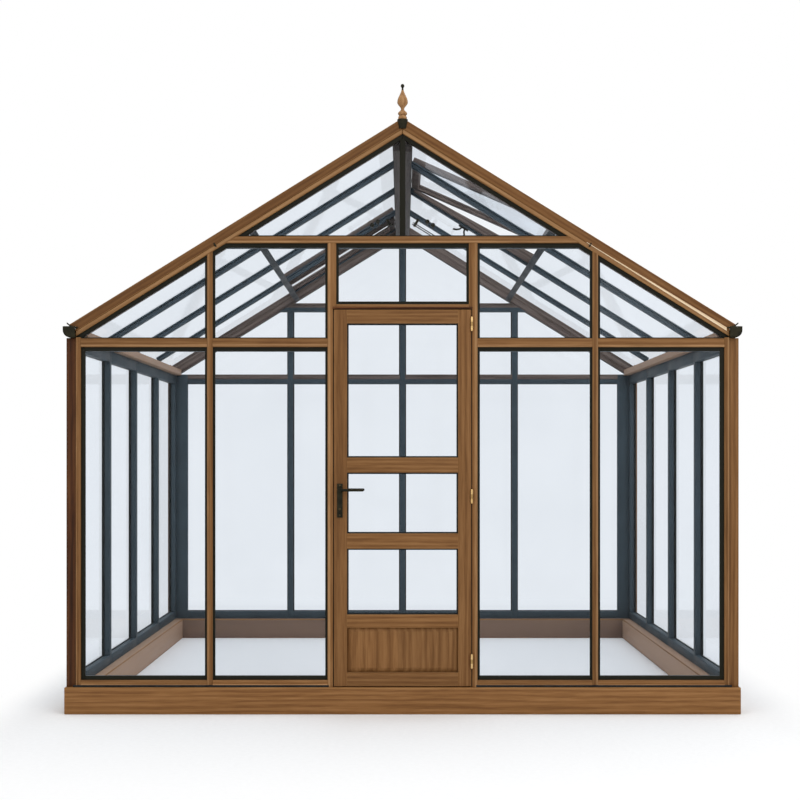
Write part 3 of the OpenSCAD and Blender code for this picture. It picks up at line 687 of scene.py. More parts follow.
class Mesh:
    """A mesh in the making, with shapes that are swept, turned or eased."""

    least_radius = 1e-5
    smooth_angle = math.radians(32)

    def __init__(self) -> None:
        """Starts an empty mesh."""
        self.bm = bmesh.new()

    def loft(self, rings: Sequence[Sequence[Vector]], closed: bool = True) -> "Mesh":
        """Skins a row of rings and caps its ends.

        Args:
            rings: Rings of points, all of one length.
            closed: Whether the ends are capped.

        Returns:
            This mesh.
        """
        rows = [[self.bm.verts.new(point) for point in ring] for ring in rings]
        count = len(rows[0])
        for low, high in zip(rows, rows[1:]):
            for i in range(count):
                j = (i + 1) % count
                self.bm.faces.new((low[i], low[j], high[j], high[i]))
        if closed:
            self.bm.faces.new(list(reversed(rows[0])))
            self.bm.faces.new(rows[-1])
        return self

    def bar(self, outline: Sequence[Span], start: float, end: float, place: Matrix) -> "Mesh":
        """Extrudes an outline along the frame's Z.

        Args:
            outline: Points of the section in the frame's X and Y.
            start: Where the bar starts.
            end: Where it ends.
            place: The frame.

        Returns:
            This mesh.
        """
        return self.loft([[place @ Vector((u, v, z)) for u, v in outline] for z in (start, end)])

    def slab(self, low: Point, high: Point, place: Matrix | None = None) -> "Mesh":
        """Adds a board.

        Args:
            low: Its lowest corner.
            high: Its highest corner.
            place: The frame, or none for the house's frame.

        Returns:
            This mesh.
        """
        (a, b, c), (d, e, f) = low, high
        return self.bar(((a, b), (d, b), (d, e), (a, e)), c, f, place or Matrix.Identity(4))

    def turned(self, profile: Sequence[Span], place: Matrix, segments: int) -> "Mesh":
        """Turns a profile about the frame's Z.

        Args:
            profile: Radii and heights from foot to top.
            place: The frame.
            segments: Facets round the axis.

        Returns:
            This mesh.
        """
        turns = [2 * math.pi * i / segments for i in range(segments)]
        rings = []
        for radius, z in profile:
            r = max(radius, self.least_radius)
            rings.append([place @ Vector((r * math.cos(t), r * math.sin(t), z)) for t in turns])
        return self.loft(rings)

    def rod(self, path: Sequence[Point], radius: float, place: Matrix, segments: int) -> "Mesh":
        """Sweeps a round rod along a path.

        Args:
            path: Points of the path.
            radius: The rod's radius.
            place: The frame.
            segments: Facets round the rod.

        Returns:
            This mesh.
        """
        points = [place @ Vector(point) for point in path]
        turns = [2 * math.pi * k / segments for k in range(segments)]
        rings = []
        normal = None
        for i, point in enumerate(points):
            ahead = points[min(i + 1, len(points) - 1)] - points[max(i - 1, 0)]
            ahead.normalize()
            if normal is None:
                normal = ahead.orthogonal()
            normal = (normal - ahead * normal.dot(ahead)).normalized()
            other = ahead.cross(normal)
            rings.append([point + radius * (math.cos(t) * normal + math.sin(t) * other) for t in turns])
        return self.loft(rings)

    def eased(self, width: float, segments: int = 2, least: float = 25.0) -> "Mesh":
        """Rounds the sharp edges, whose faces take the second material.

        Args:
            width: Width of the rounding.
            segments: Facets of the rounding.
            least: Least angle of a sharp edge in degrees.

        Returns:
            This mesh.
        """
        bmesh.ops.recalc_face_normals(self.bm, faces=self.bm.faces)
        limit = math.radians(least)
        bmesh.ops.bevel(
            self.bm,
            geom=[edge for edge in self.bm.edges if edge.is_manifold and edge.calc_face_angle(0) > limit],
            offset=width,
            segments=segments,
            profile=0.6,
            affect="EDGES",
            clamp_overlap=True,
            material=1,
        )
        return self

    def painted(self, index: int, chosen: Callable[[bmesh.types.BMFace], bool]) -> "Mesh":
        """Gives some faces another material.

        Args:
            index: The material's place among the piece's finishes.
            chosen: Tells whether a face takes it.

        Returns:
            This mesh.
        """
        bmesh.ops.recalc_face_normals(self.bm, faces=self.bm.faces)
        for face in self.bm.faces:
            if chosen(face):
                face.material_index = index
        return self

    def of_node(self, node: str) -> "Mesh":
        """Takes over the shape of a CAD node, with its flat faces joined.

        Args:
            node: The node's name.

        Returns:
            This mesh.
        """
        self.bm.from_mesh(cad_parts[node].data)
        for face in self.bm.faces:
            face.material_index = 0
        bmesh.ops.remove_doubles(self.bm, verts=self.bm.verts, dist=1e-5)
        bmesh.ops.dissolve_limit(
            self.bm, angle_limit=math.radians(1), verts=self.bm.verts, edges=self.bm.edges, delimit=set()
        )
        return self

    def piece(self, name: str, body: Body, slot: Slot, *finishes: Finish) -> bpy.types.Object:
        """Makes the mesh an object that rides on a body.

        Args:
            name: The piece's name.
            body: The body it rides on.
            slot: The record's material slot; not used.
            finishes: The finish of its faces, that of its eased edges, and others.

        Returns:
            The object.
        """
        bmesh.ops.recalc_face_normals(self.bm, faces=self.bm.faces)
        mesh = bpy.data.meshes.new(name)
        self.bm.to_mesh(mesh)
        self.bm.free()
        for finish in finishes:
            mesh.materials.append(FINISHES.get(finish))
        mesh.shade_smooth()
        mesh.set_sharp_from_angle(angle=self.smooth_angle)
        made = bpy.data.objects.new(name, mesh)
        bpy.context.scene.collection.objects.link(made)
        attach(made, body.value)
        LOG.info("%s: %d faces on %s", name, len(mesh.polygons), body.value)
        return made

    def stand_for(self, node: str, body: Body, slot: Slot, *finishes: Finish) -> None:
        """Makes the mesh an object that replaces a CAD node.

        Args:
            node: The node's name.
            body: The body it rides on.
            slot: The record's material slot.
            finishes: The finish of its faces, that of its eased edges, and others.
        """
        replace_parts(self.piece(f"{node}_eased", body, slot, *finishes), node)


def dress(node: str, finish: Finish) -> None:
    """Gives a CAD node a finish.

    Args:
        node: The node's name.
        finish: The finish.
    """
    material = FINISHES.get(finish)
    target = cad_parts[node]
    if not target.material_slots:
        target.data.materials.append(material)
    for slot in target.material_slots:
        slot.material = material
    LOG.info("%s: dressed in %s", node, finish.name)


def ease_metal(node: str, width: float, slot: Slot, finish: Finish, body: Body = Body.HOUSE) -> None:
    """Replaces a metal node by the same shape with eased edges.

    Args:
        node: The node's name.
        width: Width of the easing.
        slot: The record's material slot.
        finish: The finish of its faces and edges.
        body: The body it rides on.
    """
    Mesh().of_node(node).eased(width).stand_for(node, body, slot, finish, finish)


def ease_timber(
    node: str, grain: Grain, width: float, kind: Timber = TIMBER, body: Body = Body.HOUSE
) -> None:
    """Replaces a timber node by the same boards with eased, worn edges.

    Args:
        node: The node's name.
        grain: The way its grain runs.
        width: Width of the easing.
        kind: The timber's finishes by grain.
        body: The body it rides on.
    """
    edge = kind if kind in (GREY_TIMBER, DUSKY_TIMBER) else EDGE_TIMBER
    Mesh().of_node(node).eased(width).stand_for(node, body, Slot.TIMBER, kind[grain], edge[grain])


def screw(mesh: Mesh, place: Matrix, radius: float, height: float) -> None:
    """Adds a domed screw head with a raised bar to a mesh.

    Args:
        mesh: The mesh.
        place: Frame with the head's seat at its origin and its Z outwards.
        radius: The head's radius.
        height: The head's height.
    """
    dome = ((1.0, 0.0), (1.0, 0.35), (0.8, 0.75), (0.4, 1.0), (0.0, 1.0))
    mesh.turned([(radius * r, height * z) for r, z in dome], place, segments=18)
    long, wide = radius * 0.75, radius * 0.16
    mesh.slab((-long, -wide, height * 0.6), (long, wide, height * 1.12), place)


@dataclass
class TimberBase:
    """The base timbers that the house stands on."""

    easing: float = 0.006

    def build(self) -> None:
        """Rounds the timbers and gives them straight grain."""
        # Painted shade on the base ends' inner faces, painted light on the base sides' inner faces.
        ease_timber("base_ends", Grain.ALONG_X, self.easing, END_TIMBER)
        ease_timber("base_sides", Grain.ALONG_Y, self.easing, BASE_TIMBER)


@dataclass
class Walls:
    """Corner posts, coated bars, timber caps, painted shadow strips along the sills and panes of the four
    walls.
    """

    bars: tuple[str, ...] = (
        "front_uprights", "front_rails", "back_uprights", "back_rails",
        "side_uprights", "side_rails", "rake_rails", "side_upright_caps",
    )
    panes: tuple[str, ...] = ("front_panes", "back_panes", "side_panes")
    bar_easing: float = 0.001
    rail_easing: float = 0.0015
    post_easing: float = 0.003
    shadow_strip_z: Span = (0.1435, 0.1545)
    shadow_strip_x: Span = (0.392, 1.754)
    shadow_strip_y: Span = (-0.020, 2.890)
    shadow_strip_t: float = 0.004
    shadow_strip_proud: float = 0.0007
    shadow_strip_easing: float = 0.0008

    def build(self) -> None:
        """Eases and dresses the bars, caps, posts and panes."""
        for node in self.bars:
            ease_metal(node, self.bar_easing, Slot.DARK_METAL, COAT)
        self.caps("front_upright_caps", Grain.ALONG_Z)
        self.caps("back_upright_caps", Grain.ALONG_Z)
        self.caps("front_rail_caps", Grain.ALONG_X)
        self.caps("back_rail_caps", Grain.ALONG_X)
        self.caps("side_rail_caps", Grain.ALONG_Y)
        ease_timber("gable_inner_rails", Grain.ALONG_X, self.rail_easing, GREY_TIMBER)
        self.corner_posts()
        self.sill_shadow_strips()
        for node in self.panes:
            dress(node, GLASS)

    def is_bead(self, face: bmesh.types.BMFace) -> bool:
        """Tells whether a face of a cap lies on its raised bead.

        Args:
            face: The face.

        Returns:
            True on the bead.
        """
        spot = face.calc_center_median()
        proud = max(HOUSE.front_y - spot.y, spot.y - HOUSE.back_y, abs(spot.x) - HOUSE.side_x)
        return proud > -HOUSE.bead_rise / 2

    def caps(self, node: str, grain: Grain) -> None:
        """Replaces timber caps by the same caps with eased edges and a painted highlight on the bead.

        Args:
            node: The node's name.
            grain: The way their grain runs.
        """
        # Painted highlight: the bead takes the pale timber, for the bright line where light catches it.
        finishes = (TIMBER[grain], EDGE_TIMBER[grain], PALE_TIMBER[grain])
        mesh = Mesh().of_node(node).eased(self.bar_easing).painted(2, self.is_bead)
        mesh.stand_for(node, Body.HOUSE, Slot.TIMBER, *finishes)

    def corner_posts(self) -> None:
        """Eases the corner posts; the left ones are darkened with painted shade."""
        grain = Grain.ALONG_Z
        finishes = (TIMBER[grain], EDGE_TIMBER[grain], SHADED_TIMBER[grain])
        mesh = Mesh().of_node("corner_posts").eased(self.post_easing)
        # Painted shade: the left posts take the shaded timber, as if turned away from the light.
        mesh.painted(2, lambda face: face.calc_center_median().x < 0)
        mesh.stand_for("corner_posts", Body.HOUSE, Slot.TIMBER, *finishes)

    def sill_shadow_strips(self) -> None:
        """Adds dark strips of painted shadow between the bottom rails and the base, but for the doorway."""
        mesh = Mesh()
        (low, high), (start, end) = self.shadow_strip_z, self.shadow_strip_x
        front, back = HOUSE.front_y - self.shadow_strip_proud, HOUSE.back_y + self.shadow_strip_proud
        for a, b in ((-end, -start), (start, end)):
            mesh.slab((a, front, low), (b, front + self.shadow_strip_t, high))
        mesh.slab((-end, back - self.shadow_strip_t, low), (end, back, high))
        side = HOUSE.side_x + self.shadow_strip_proud
        for a, b in ((-side, -side + self.shadow_strip_t), (side - self.shadow_strip_t, side)):
            mesh.slab((a, self.shadow_strip_y[0], low), (b, self.shadow_strip_y[1], high))
        # Painted shadow: the strips take the black rubber finish only to darken the gap where shade falls.
        mesh.eased(self.shadow_strip_easing, 1).piece("sill_shadow_strips", Body.HOUSE, Slot.DARK_METAL, RUBBER, RUBBER)


@dataclass
class GableEdges:
    """Rafters, verge boards and mouldings of the two gables, and their small fittings."""

    verge_proud: float = 0.002
    board_easing: float = 0.002
    moulding_easing: float = 0.003
    junction_depth: float = 0.047
    fillet_x: Span = (0.98, 1.725)
    fillet_h: Span = (0.002, 0.014)
    fillet_foot_y: Span = (0.004, -0.001)
    fillet_head_y: Span = (-0.004, 0.002)
    joint_x: float = 1.0
    clip_half: float = 0.004
    clip_y: Span = (-0.004, 0.003)
    clip_z: Span = (-0.012, 0.010)
    clip_easing: float = 0.001
    flashing_line: tuple[Span, ...] = (
        (1.728, 2.058), (1.745, 2.057), (1.762, 2.064), (1.776, 2.073), (1.786, 2.081)
    )
    flashing_t: float = 0.0075
    flashing_w: float = 0.020
    flashing_easing: float = 0.0006

    def build(self) -> None:
        """Dresses the boards and adds the fittings."""
        ease_timber("rafters", Grain.ALONG_RAKE, self.board_easing, GREY_TIMBER)
        # Painted shade: the verge boards take the darker upper timber.
        self.verge("verge_boards", self.board_easing, UPPER_SHADE_TIMBER)
        self.verge("verge_mouldings", self.moulding_easing, PALE_TIMBER)
        self.fillet()
        self.joint_clips()
        self.drip_flashings()

    def looks_inwards(self, face: bmesh.types.BMFace) -> bool:
        """Tells whether a face of a verge looks into the house."""
        inwards = math.copysign(1, HOUSE.middle_y - face.calc_center_median().y)
        return face.normal.y * inwards > 0.5

    def verge(self, node: str, easing: float, kind: Timber) -> None:
        """Eases the boards of both verges and greys the faces that look into the house.

        Args:
            node: The node's name.
            easing: Width of the easing.
            kind: The timber's finishes by grain.
        """
        grain = Grain.ALONG_RAKE
        finishes = (kind[grain], EDGE_TIMBER[grain], GREY_TIMBER[grain])
        mesh = Mesh().of_node(node).eased(easing).painted(2, self.looks_inwards)
        mesh.stand_for(node, Body.HOUSE, Slot.TIMBER, *finishes)

    def verge_y(self, outlook: Outlook) -> float:
        """Gives the place of a verge's face along the house."""
        face = HOUSE.front_y if outlook is Outlook.FRONT else HOUSE.back_y
        return face + outlook.value * self.verge_proud

    def fillet(self) -> None:
        """Adds a pale tapered fillet below the right verge board, as a painted highlight for the lit edge
        there.
        """
        verge = self.verge_y(Outlook.FRONT)
        rings = []
        for x, height in zip(self.fillet_x, self.fillet_h):
            low = HOUSE.roof_z(x, self.junction_depth + height / 2)
            high = HOUSE.roof_z(x, self.junction_depth - height / 2)
            foot = [Vector((x, verge + y, low)) for y in self.fillet_foot_y]
            head = [Vector((x, verge + y, high)) for y in self.fillet_head_y]
            rings.append(foot + head)
        # Painted highlight: the fillet takes the near-white highlight finish.
        Mesh().loft(rings).piece("verge_highlight_fillet", Body.HOUSE, Slot.TIMBER, PAINTED_HIGHLIGHT)

    def joint_clips(self) -> None:
        """Adds the dark clips where two lengths of moulding meet."""
        mesh = Mesh()
        z = HOUSE.roof_z(self.joint_x, self.junction_depth)
        for outlook in Outlook:
            near, far = sorted(outlook.value * y for y in self.clip_y)
            for side in Side:
                spot = (side.value * self.joint_x, self.verge_y(outlook), z)
                place = Matrix.Translation(spot) @ Matrix.Rotation(side.value * HOUSE.pitch, 4, "Y")
                low, high = (-self.clip_half, near, self.clip_z[0]), (self.clip_half, far, self.clip_z[1])
                mesh.slab(low, high, place)
        mesh.eased(self.clip_easing)
        mesh.piece("moulding_joint_clips", Body.HOUSE, Slot.BRONZE, BRONZE, BRONZE)

    def drip_flashings(self) -> None:
        """Adds the curled flashings that throw water from the verges into the gutters."""
        mesh = Mesh()
        half = self.flashing_w / 2
        for y in (HOUSE.front_y, HOUSE.back_y):
            place = Outlook.FRONT.frame((0, y, 0))
            for side in Side:
                top = [(side.value * x, z + self.flashing_t / 2) for x, z in self.flashing_line]
                under = [(side.value * x, z - self.flashing_t / 2) for x, z in reversed(self.flashing_line)]
                mesh.bar(top + under, -half, half, place)
        mesh.eased(self.flashing_easing, 1)
        mesh.piece("drip_flashings", Body.HOUSE, Slot.BRONZE, BRONZE, BRONZE)


@dataclass
class Roof:
    """Ridge, purlins, roof bars, panes, eaves plates and gutters."""

    bar_easing: float = 0.001
    plate_easing: float = 0.002
    beam_easing: float = 0.003
    gutter_x: float = 1.741
    gutter_z: float = 2.004
    gutter_w: float = 0.065
    gutter_h: float = 0.060
    gutter_round: float = 0.040
    gutter_steps: int = 12
    gutter_ends: Span = (-0.065, 2.935)
    stop_t: float = 0.0035
    stop_easing: float = 0.0008
    rim_t: float = 0.003
    rim_inset: float = 0.006
    strap_w: float = 0.026
    strap_t: float = 0.003
    strap_turn: float = math.radians(71.5)
    strap_steps: int = 11
    strap_inset: float = 0.09

    def build(self) -> None:
        """Dresses the roof and adds the gutter fittings."""
        ease_metal("roof_bars", self.bar_easing, Slot.DARK_METAL, ROOF_COAT)
        ease_metal("vent_sills", self.bar_easing, Slot.DARK_METAL, ROOF_COAT)
        ease_metal("purlins", self.bar_easing, Slot.DARK_METAL, PURLIN_COAT)
        # Painted light: the eaves plates' inner faces take the lit inside colour.
        ease_timber("eaves_plates", Grain.ALONG_Y, self.plate_easing, INSIDE_LIT_TIMBER)
        # Painted shade: the ridge beam takes the dusky timber.
        ease_timber("ridge_beam", Grain.ALONG_Y, self.beam_easing, DUSKY_TIMBER)
        ease_metal("ridge_cap", self.plate_easing, Slot.DARK_METAL, BRONZE)
        dress("roof_panes", GLASS)
        dress("gutters", BRONZE)
        self.gutter_stops()
        self.gutter_straps()

    def gutter_arc(self, across: float, down: float, turn: float, steps: int) -> list[Span]:
        """Gives the round of the gutter from its lowest point outwards.

        Args:
            across: Radius across the gutter.
            down: Radius down from the round's middle.
            turn: The angle that the arc covers.
            steps: Facets of the arc.

        Returns:
            Points in X and Z, from the gutter's back foot.
        """
        turns = [-math.pi / 2 + turn * i / steps for i in range(steps + 1)]
        middle_x, middle_z = self.gutter_w - self.gutter_round, self.gutter_round
        return [(middle_x + across * math.cos(t), middle_z + down * math.sin(t)) for t in turns]

    def gutter_ring(self, side: Side, y: float, outline: Sequence[Span]) -> list[Vector]:
        """Places an outline across a gutter.

        Args:
            side: The gutter's side.
            y: Where it stands along the gutter.
            outline: Points in X and Z, from the gutter's back foot.

        Returns:
            The ring of points.
        """
        return [Vector((side.value * (self.gutter_x + u), y, self.gutter_z + v)) for u, v in outline]

    def stop_outline(self, inset: float) -> list[Span]:
        """Gives the outline of a stop end.

        Args:
            inset: How far the outline is set in from the gutter.

        Returns:
            Points in X and Z, from the gutter's back foot.
        """
        radius = self.gutter_round - inset
        arc = self.gutter_arc(radius, radius, math.pi / 2, self.gutter_steps)
        return [(0.0, inset), *arc, (self.gutter_w - inset, self.gutter_h), (0.0, self.gutter_h)]

    def gutter_stops(self) -> None:
        """Adds stop ends with a raised rim to both gutters."""
        mesh = Mesh()
        layers = ((0.0, 0.0, self.stop_t), (self.rim_inset, self.stop_t, self.stop_t + self.rim_t))
        for side in Side:
            for y, outlook in zip(self.gutter_ends, Outlook):
                for inset, near, far in layers:
                    outline = self.stop_outline(inset)
                    mesh.loft([
                        self.gutter_ring(side, y + outlook.value * depth, outline) for depth in (near, far)
                    ])
        mesh.eased(self.stop_easing, 1).piece("gutter_stop_ends", Body.HOUSE, Slot.BRONZE, BRONZE, BRONZE)

    def gutter_straps(self) -> None:
        """Adds straps that carry the gutters at each bar, and a little inside the gables."""
        mesh = Mesh()
        r, half = self.gutter_round, self.strap_w / 2
        outer = self.gutter_arc(r + self.strap_t, r + self.strap_t, self.strap_turn, self.strap_steps)
        inner = self.gutter_arc(r, r, self.strap_turn, self.strap_steps)
        outline = [(u, v) for u, v in outer + inner[::-1] if self.gutter_x + u <= HOUSE.reach_x]
        for side in Side:
            for bar in range(HOUSE.bays + 1):
                inset = self.strap_inset * ((bar == 0) - (bar == HOUSE.bays))
                y = HOUSE.bar_y(bar) + inset
                mesh.loft([self.gutter_ring(side, y + edge, outline) for edge in (-half, half)])
        mesh.piece("gutter_straps", Body.HOUSE, Slot.BRONZE, BRONZE)


@dataclass
class RoofVents:
    """The two sashes in the roof, the linings they shut on, their pivots and gear.

    In the names of the sizes, q runs down the slope from the ridge, y along it and p out of the roof.
    """

    open_bar: int = 1
    shut_bar: int = 3
    sash_easing: float = 0.0015
    stay_easing: float = 0.001
    plate_half: float = 0.0277
    lining_q: Span = (0.105, 0.980)
    lining_p: Span = (-0.035, -0.0165)
    lining_w: float = 0.030
    lining_easing: float = 0.002
    cheek_rise: float = 0.046
    cheek_drop: float = 0.036
    pivot_q: float = 0.073
    pivot_p: float = 0.001
    pivot_across: float = 0.22
    pivot_half: float = 0.04
    pivot_r: float = 0.006
    claw_q: float = 0.500
    claw_y: float = 0.026
    claw_half: Span = (0.035, 0.010)
    claw_p: Span = (-0.056, -0.047)
    prongs: tuple[tuple[Span, ...], ...] = (
        ((-0.012, -0.054), (-0.018, -0.070), (-0.034, -0.084), (-0.056, -0.092)),
        ((0.010, -0.054), (0.016, -0.072), (0.028, -0.088), (0.032, -0.108)),
    )
    prong_r: float = 0.006
    gear_y: float = -0.040
    rod_q: Span = (0.140, 0.430)
    rod_p: Span = (-0.084, -0.097)
    rod_r: float = 0.0036
    knob_q: Span = (0.231, 0.277)
    knob_p: float = -0.044
    knob_y: Span = (-0.110, -0.084)
    knob_r: float = 0.015
    stem_y: Span = (-0.085, 0.020)
    stem_r: float = 0.005
    bracket_inset: float = 0.02
    bracket_half: float = 0.008
    bracket_y: Span = (-0.005, 0.022)
    bracket_p: Span = (-0.103, -0.046)

    def build(self) -> None:
        """Dresses the sashes and adds the linings and fittings."""
        ease_timber("vent_sashes", Grain.ALONG_RAKE, self.sash_easing, GREY_TIMBER)
        dress("vent_panes", GLASS)
        ease_metal("vent_stay", self.stay_easing, Slot.BRONZE, BRONZE)
        self.linings()
        self.pivots()
        self.gear()

    def linings(self) -> None:
        """Adds the timber linings that the sashes shut on, beside the bars."""
        mesh = Mesh()
        for side, bar, way, rise, drop in (
            (Side.RIGHT, self.open_bar, 1, 0.0, 0.0),
            (Side.RIGHT, self.open_bar + 1, -1, self.cheek_rise, 0.0),
            (Side.LEFT, self.shut_bar, 1, 0.0, self.cheek_drop),
        ):
            inner = HOUSE.bar_y(bar) + way * self.plate_half
            outer = inner + way * self.lining_w
            low, top = self.lining_p[0] - drop, self.lining_p[1]
            rings = []
            for q, high in zip(self.lining_q, (top, top + rise)):
                corners = ((inner, low), (outer, low), (outer, high), (inner, high))
                rings.append([HOUSE.slope(side) @ Vector((q, y, p)) for y, p in corners])
            mesh.loft(rings)
        grey = GREY_TIMBER[Grain.ALONG_RAKE]
        mesh.eased(self.lining_easing).piece("vent_linings", Body.HOUSE, Slot.TIMBER, grey, grey)

    def pivots(self) -> None:
        """Adds the pivots along the upper edges of both sashes."""
        mesh = Mesh()
        for side, bar in ((Side.RIGHT, self.open_bar), (Side.LEFT, self.shut_bar)):
            middle = HOUSE.bar_y(bar) + HOUSE.bay / 2
            for across in (-self.pivot_across, self.pivot_across):
                ends = (middle + across - self.pivot_half, middle + across + self.pivot_half)
                path = [(self.pivot_q, y, self.pivot_p) for y in ends]
                mesh.rod(path, self.pivot_r, HOUSE.slope(side), segments=14)
        mesh.piece("vent_pivots", Body.HOUSE, Slot.BRONZE, BRONZE)

    def gear(self) -> None:
        """Adds the claw below the open vent, and the rods and knobs of the opening gear."""
        mesh = Mesh()
        self.claw(mesh)
        for side in Side:
            self.rods(mesh, HOUSE.slope(side))
        mesh.piece("vent_gear", Body.HOUSE, Slot.BRONZE, BRONZE)

    def claw(self, mesh: Mesh) -> None:
        """Adds the plate and the two prongs that hold the open vent's cord.

        Args:
            mesh: The mesh of the gear.
        """
        place = HOUSE.slope(Side.RIGHT)
        q, y = self.claw_q, HOUSE.bar_y(self.open_bar + 1) + self.claw_y
        (long, wide), (low, high) = self.claw_half, self.claw_p
        mesh.slab((q - long, y - wide, low), (q + long, y + wide, high), place)
        for prong in self.prongs:
            mesh.rod([(q + along, y, p) for along, p in prong], self.prong_r, place, segments=12)

    def rods(self, mesh: Mesh, place: Matrix) -> None:
        """Adds one slope's pair of rods, with its knobs and brackets.

        Args:
            mesh: The mesh of the gear.
            place: The slope's frame.
        """
        y = HOUSE.bar_y(self.shut_bar) + self.gear_y
        for p in self.rod_p:
            mesh.rod([(q, y, p) for q in self.rod_q], self.rod_r, place, segments=10)
        for q in self.knob_q:
            mesh.rod([(q, y + along, self.knob_p) for along in self.stem_y], self.stem_r, place, segments=12)
            mesh.rod([(q, y + along, self.knob_p) for along in self.knob_y], self.knob_r, place, segments=20)
        for q in (self.rod_q[0] + self.bracket_inset, self.rod_q[1] - self.bracket_inset):
            low, high = zip((q - self.bracket_half, q + self.bracket_half), self.bracket_y, self.bracket_p)
            mesh.slab((low[0], y + low[1], low[2]), (high[0], y + high[1], high[2]), place)


class Turning(Enum):
    """The way a turned profile runs from one of its points to the next."""

    STRAIGHT = "straight"
    FLOWING = "flowing"
    SWELLING = "swelling"
    CLOSING = "closing"

    def share(self, t: float) -> float:
        """Gives how far the radius has changed.

        Args:
            t: How far the height has changed, 0 to 1.

        Returns:
            The share of the change of radius, 0 to 1.
        """
        if self is Turning.FLOWING:
            return (1 - math.cos(math.pi * t)) / 2
        if self is Turning.SWELLING:
            return math.sqrt(1 - (1 - t) ** 2)
        if self is Turning.CLOSING:
            return 1 - math.sqrt(1 - t * t)
        return t


@dataclass
class Finials:
    """The turned finials on the gables, each in a metal cup with one bolt."""

    foot_z: float = 3.1656
    foot_r: float = 0.0220
    tip_from: float = 0.152
    axis_y: Span = (-0.047, 2.917)
    turns: tuple[tuple[float, float, Turning], ...] = (
        (0.0236, 0.009, Turning.SWELLING),
        (0.0164, 0.021, Turning.CLOSING),
        (0.0164, 0.024, Turning.STRAIGHT),
        (0.0246, 0.034, Turning.SWELLING),
        (0.0086, 0.056, Turning.FLOWING),
        (0.0284, 0.093, Turning.FLOWING),
        (0.0047, 0.168, Turning.FLOWING),
        (0.0099, 0.180, Turning.FLOWING),
        (0.0, 0.192, Turning.CLOSING),
    )
    steps: int = 7
    bolt_x: float = -0.006
    bolt_out: float = 0.0225
    bolt_drop: float = 0.020
    bolt_r: float = 0.007
    bolt_h: float = 0.004

    def profile(self) -> list[Span]:
        """Gives the finial's profile.

        Returns:
            Radii and heights from the foot to the tip.
        """
        points = [(0.0, 0.0), (self.foot_r, 0.0)]
        for radius, height, turning in self.turns:
            r, z = points[-1]
            count = 1 if turning is Turning.STRAIGHT else self.steps
            for t in (i / count for i in range(1, count + 1)):
                points.append((r + (radius - r) * turning.share(t), z + (height - z) * t))
        return points

    def build(self) -> None:
        """Turns the finials, dresses their cups and adds bolts."""
        mesh = Mesh()
        for y in self.axis_y:
            mesh.turned(self.profile(), Matrix.Translation((0, y, self.foot_z)), segments=48)
        mesh.painted(1, lambda face: face.calc_center_median().z > self.foot_z + self.tip_from)
        made = mesh.piece("turned_finials", Body.HOUSE, Slot.TIMBER, PALE_TIMBER[Grain.ALONG_Z], BRONZE)
        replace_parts(made, "finials")
        dress("finial_sockets", BRONZE)
        self.bolts()

    def bolts(self) -> None:
        """Adds a bolt to the outer side of each cup."""
        mesh = Mesh()
        for y, outlook in zip(self.axis_y, Outlook):
            seat = (self.bolt_x, y + outlook.value * self.bolt_out, self.foot_z - self.bolt_drop)
            screw(mesh, outlook.frame(seat), self.bolt_r, self.bolt_h)
        mesh.piece("finial_bolts", Body.HOUSE, Slot.BRONZE, BRONZE)


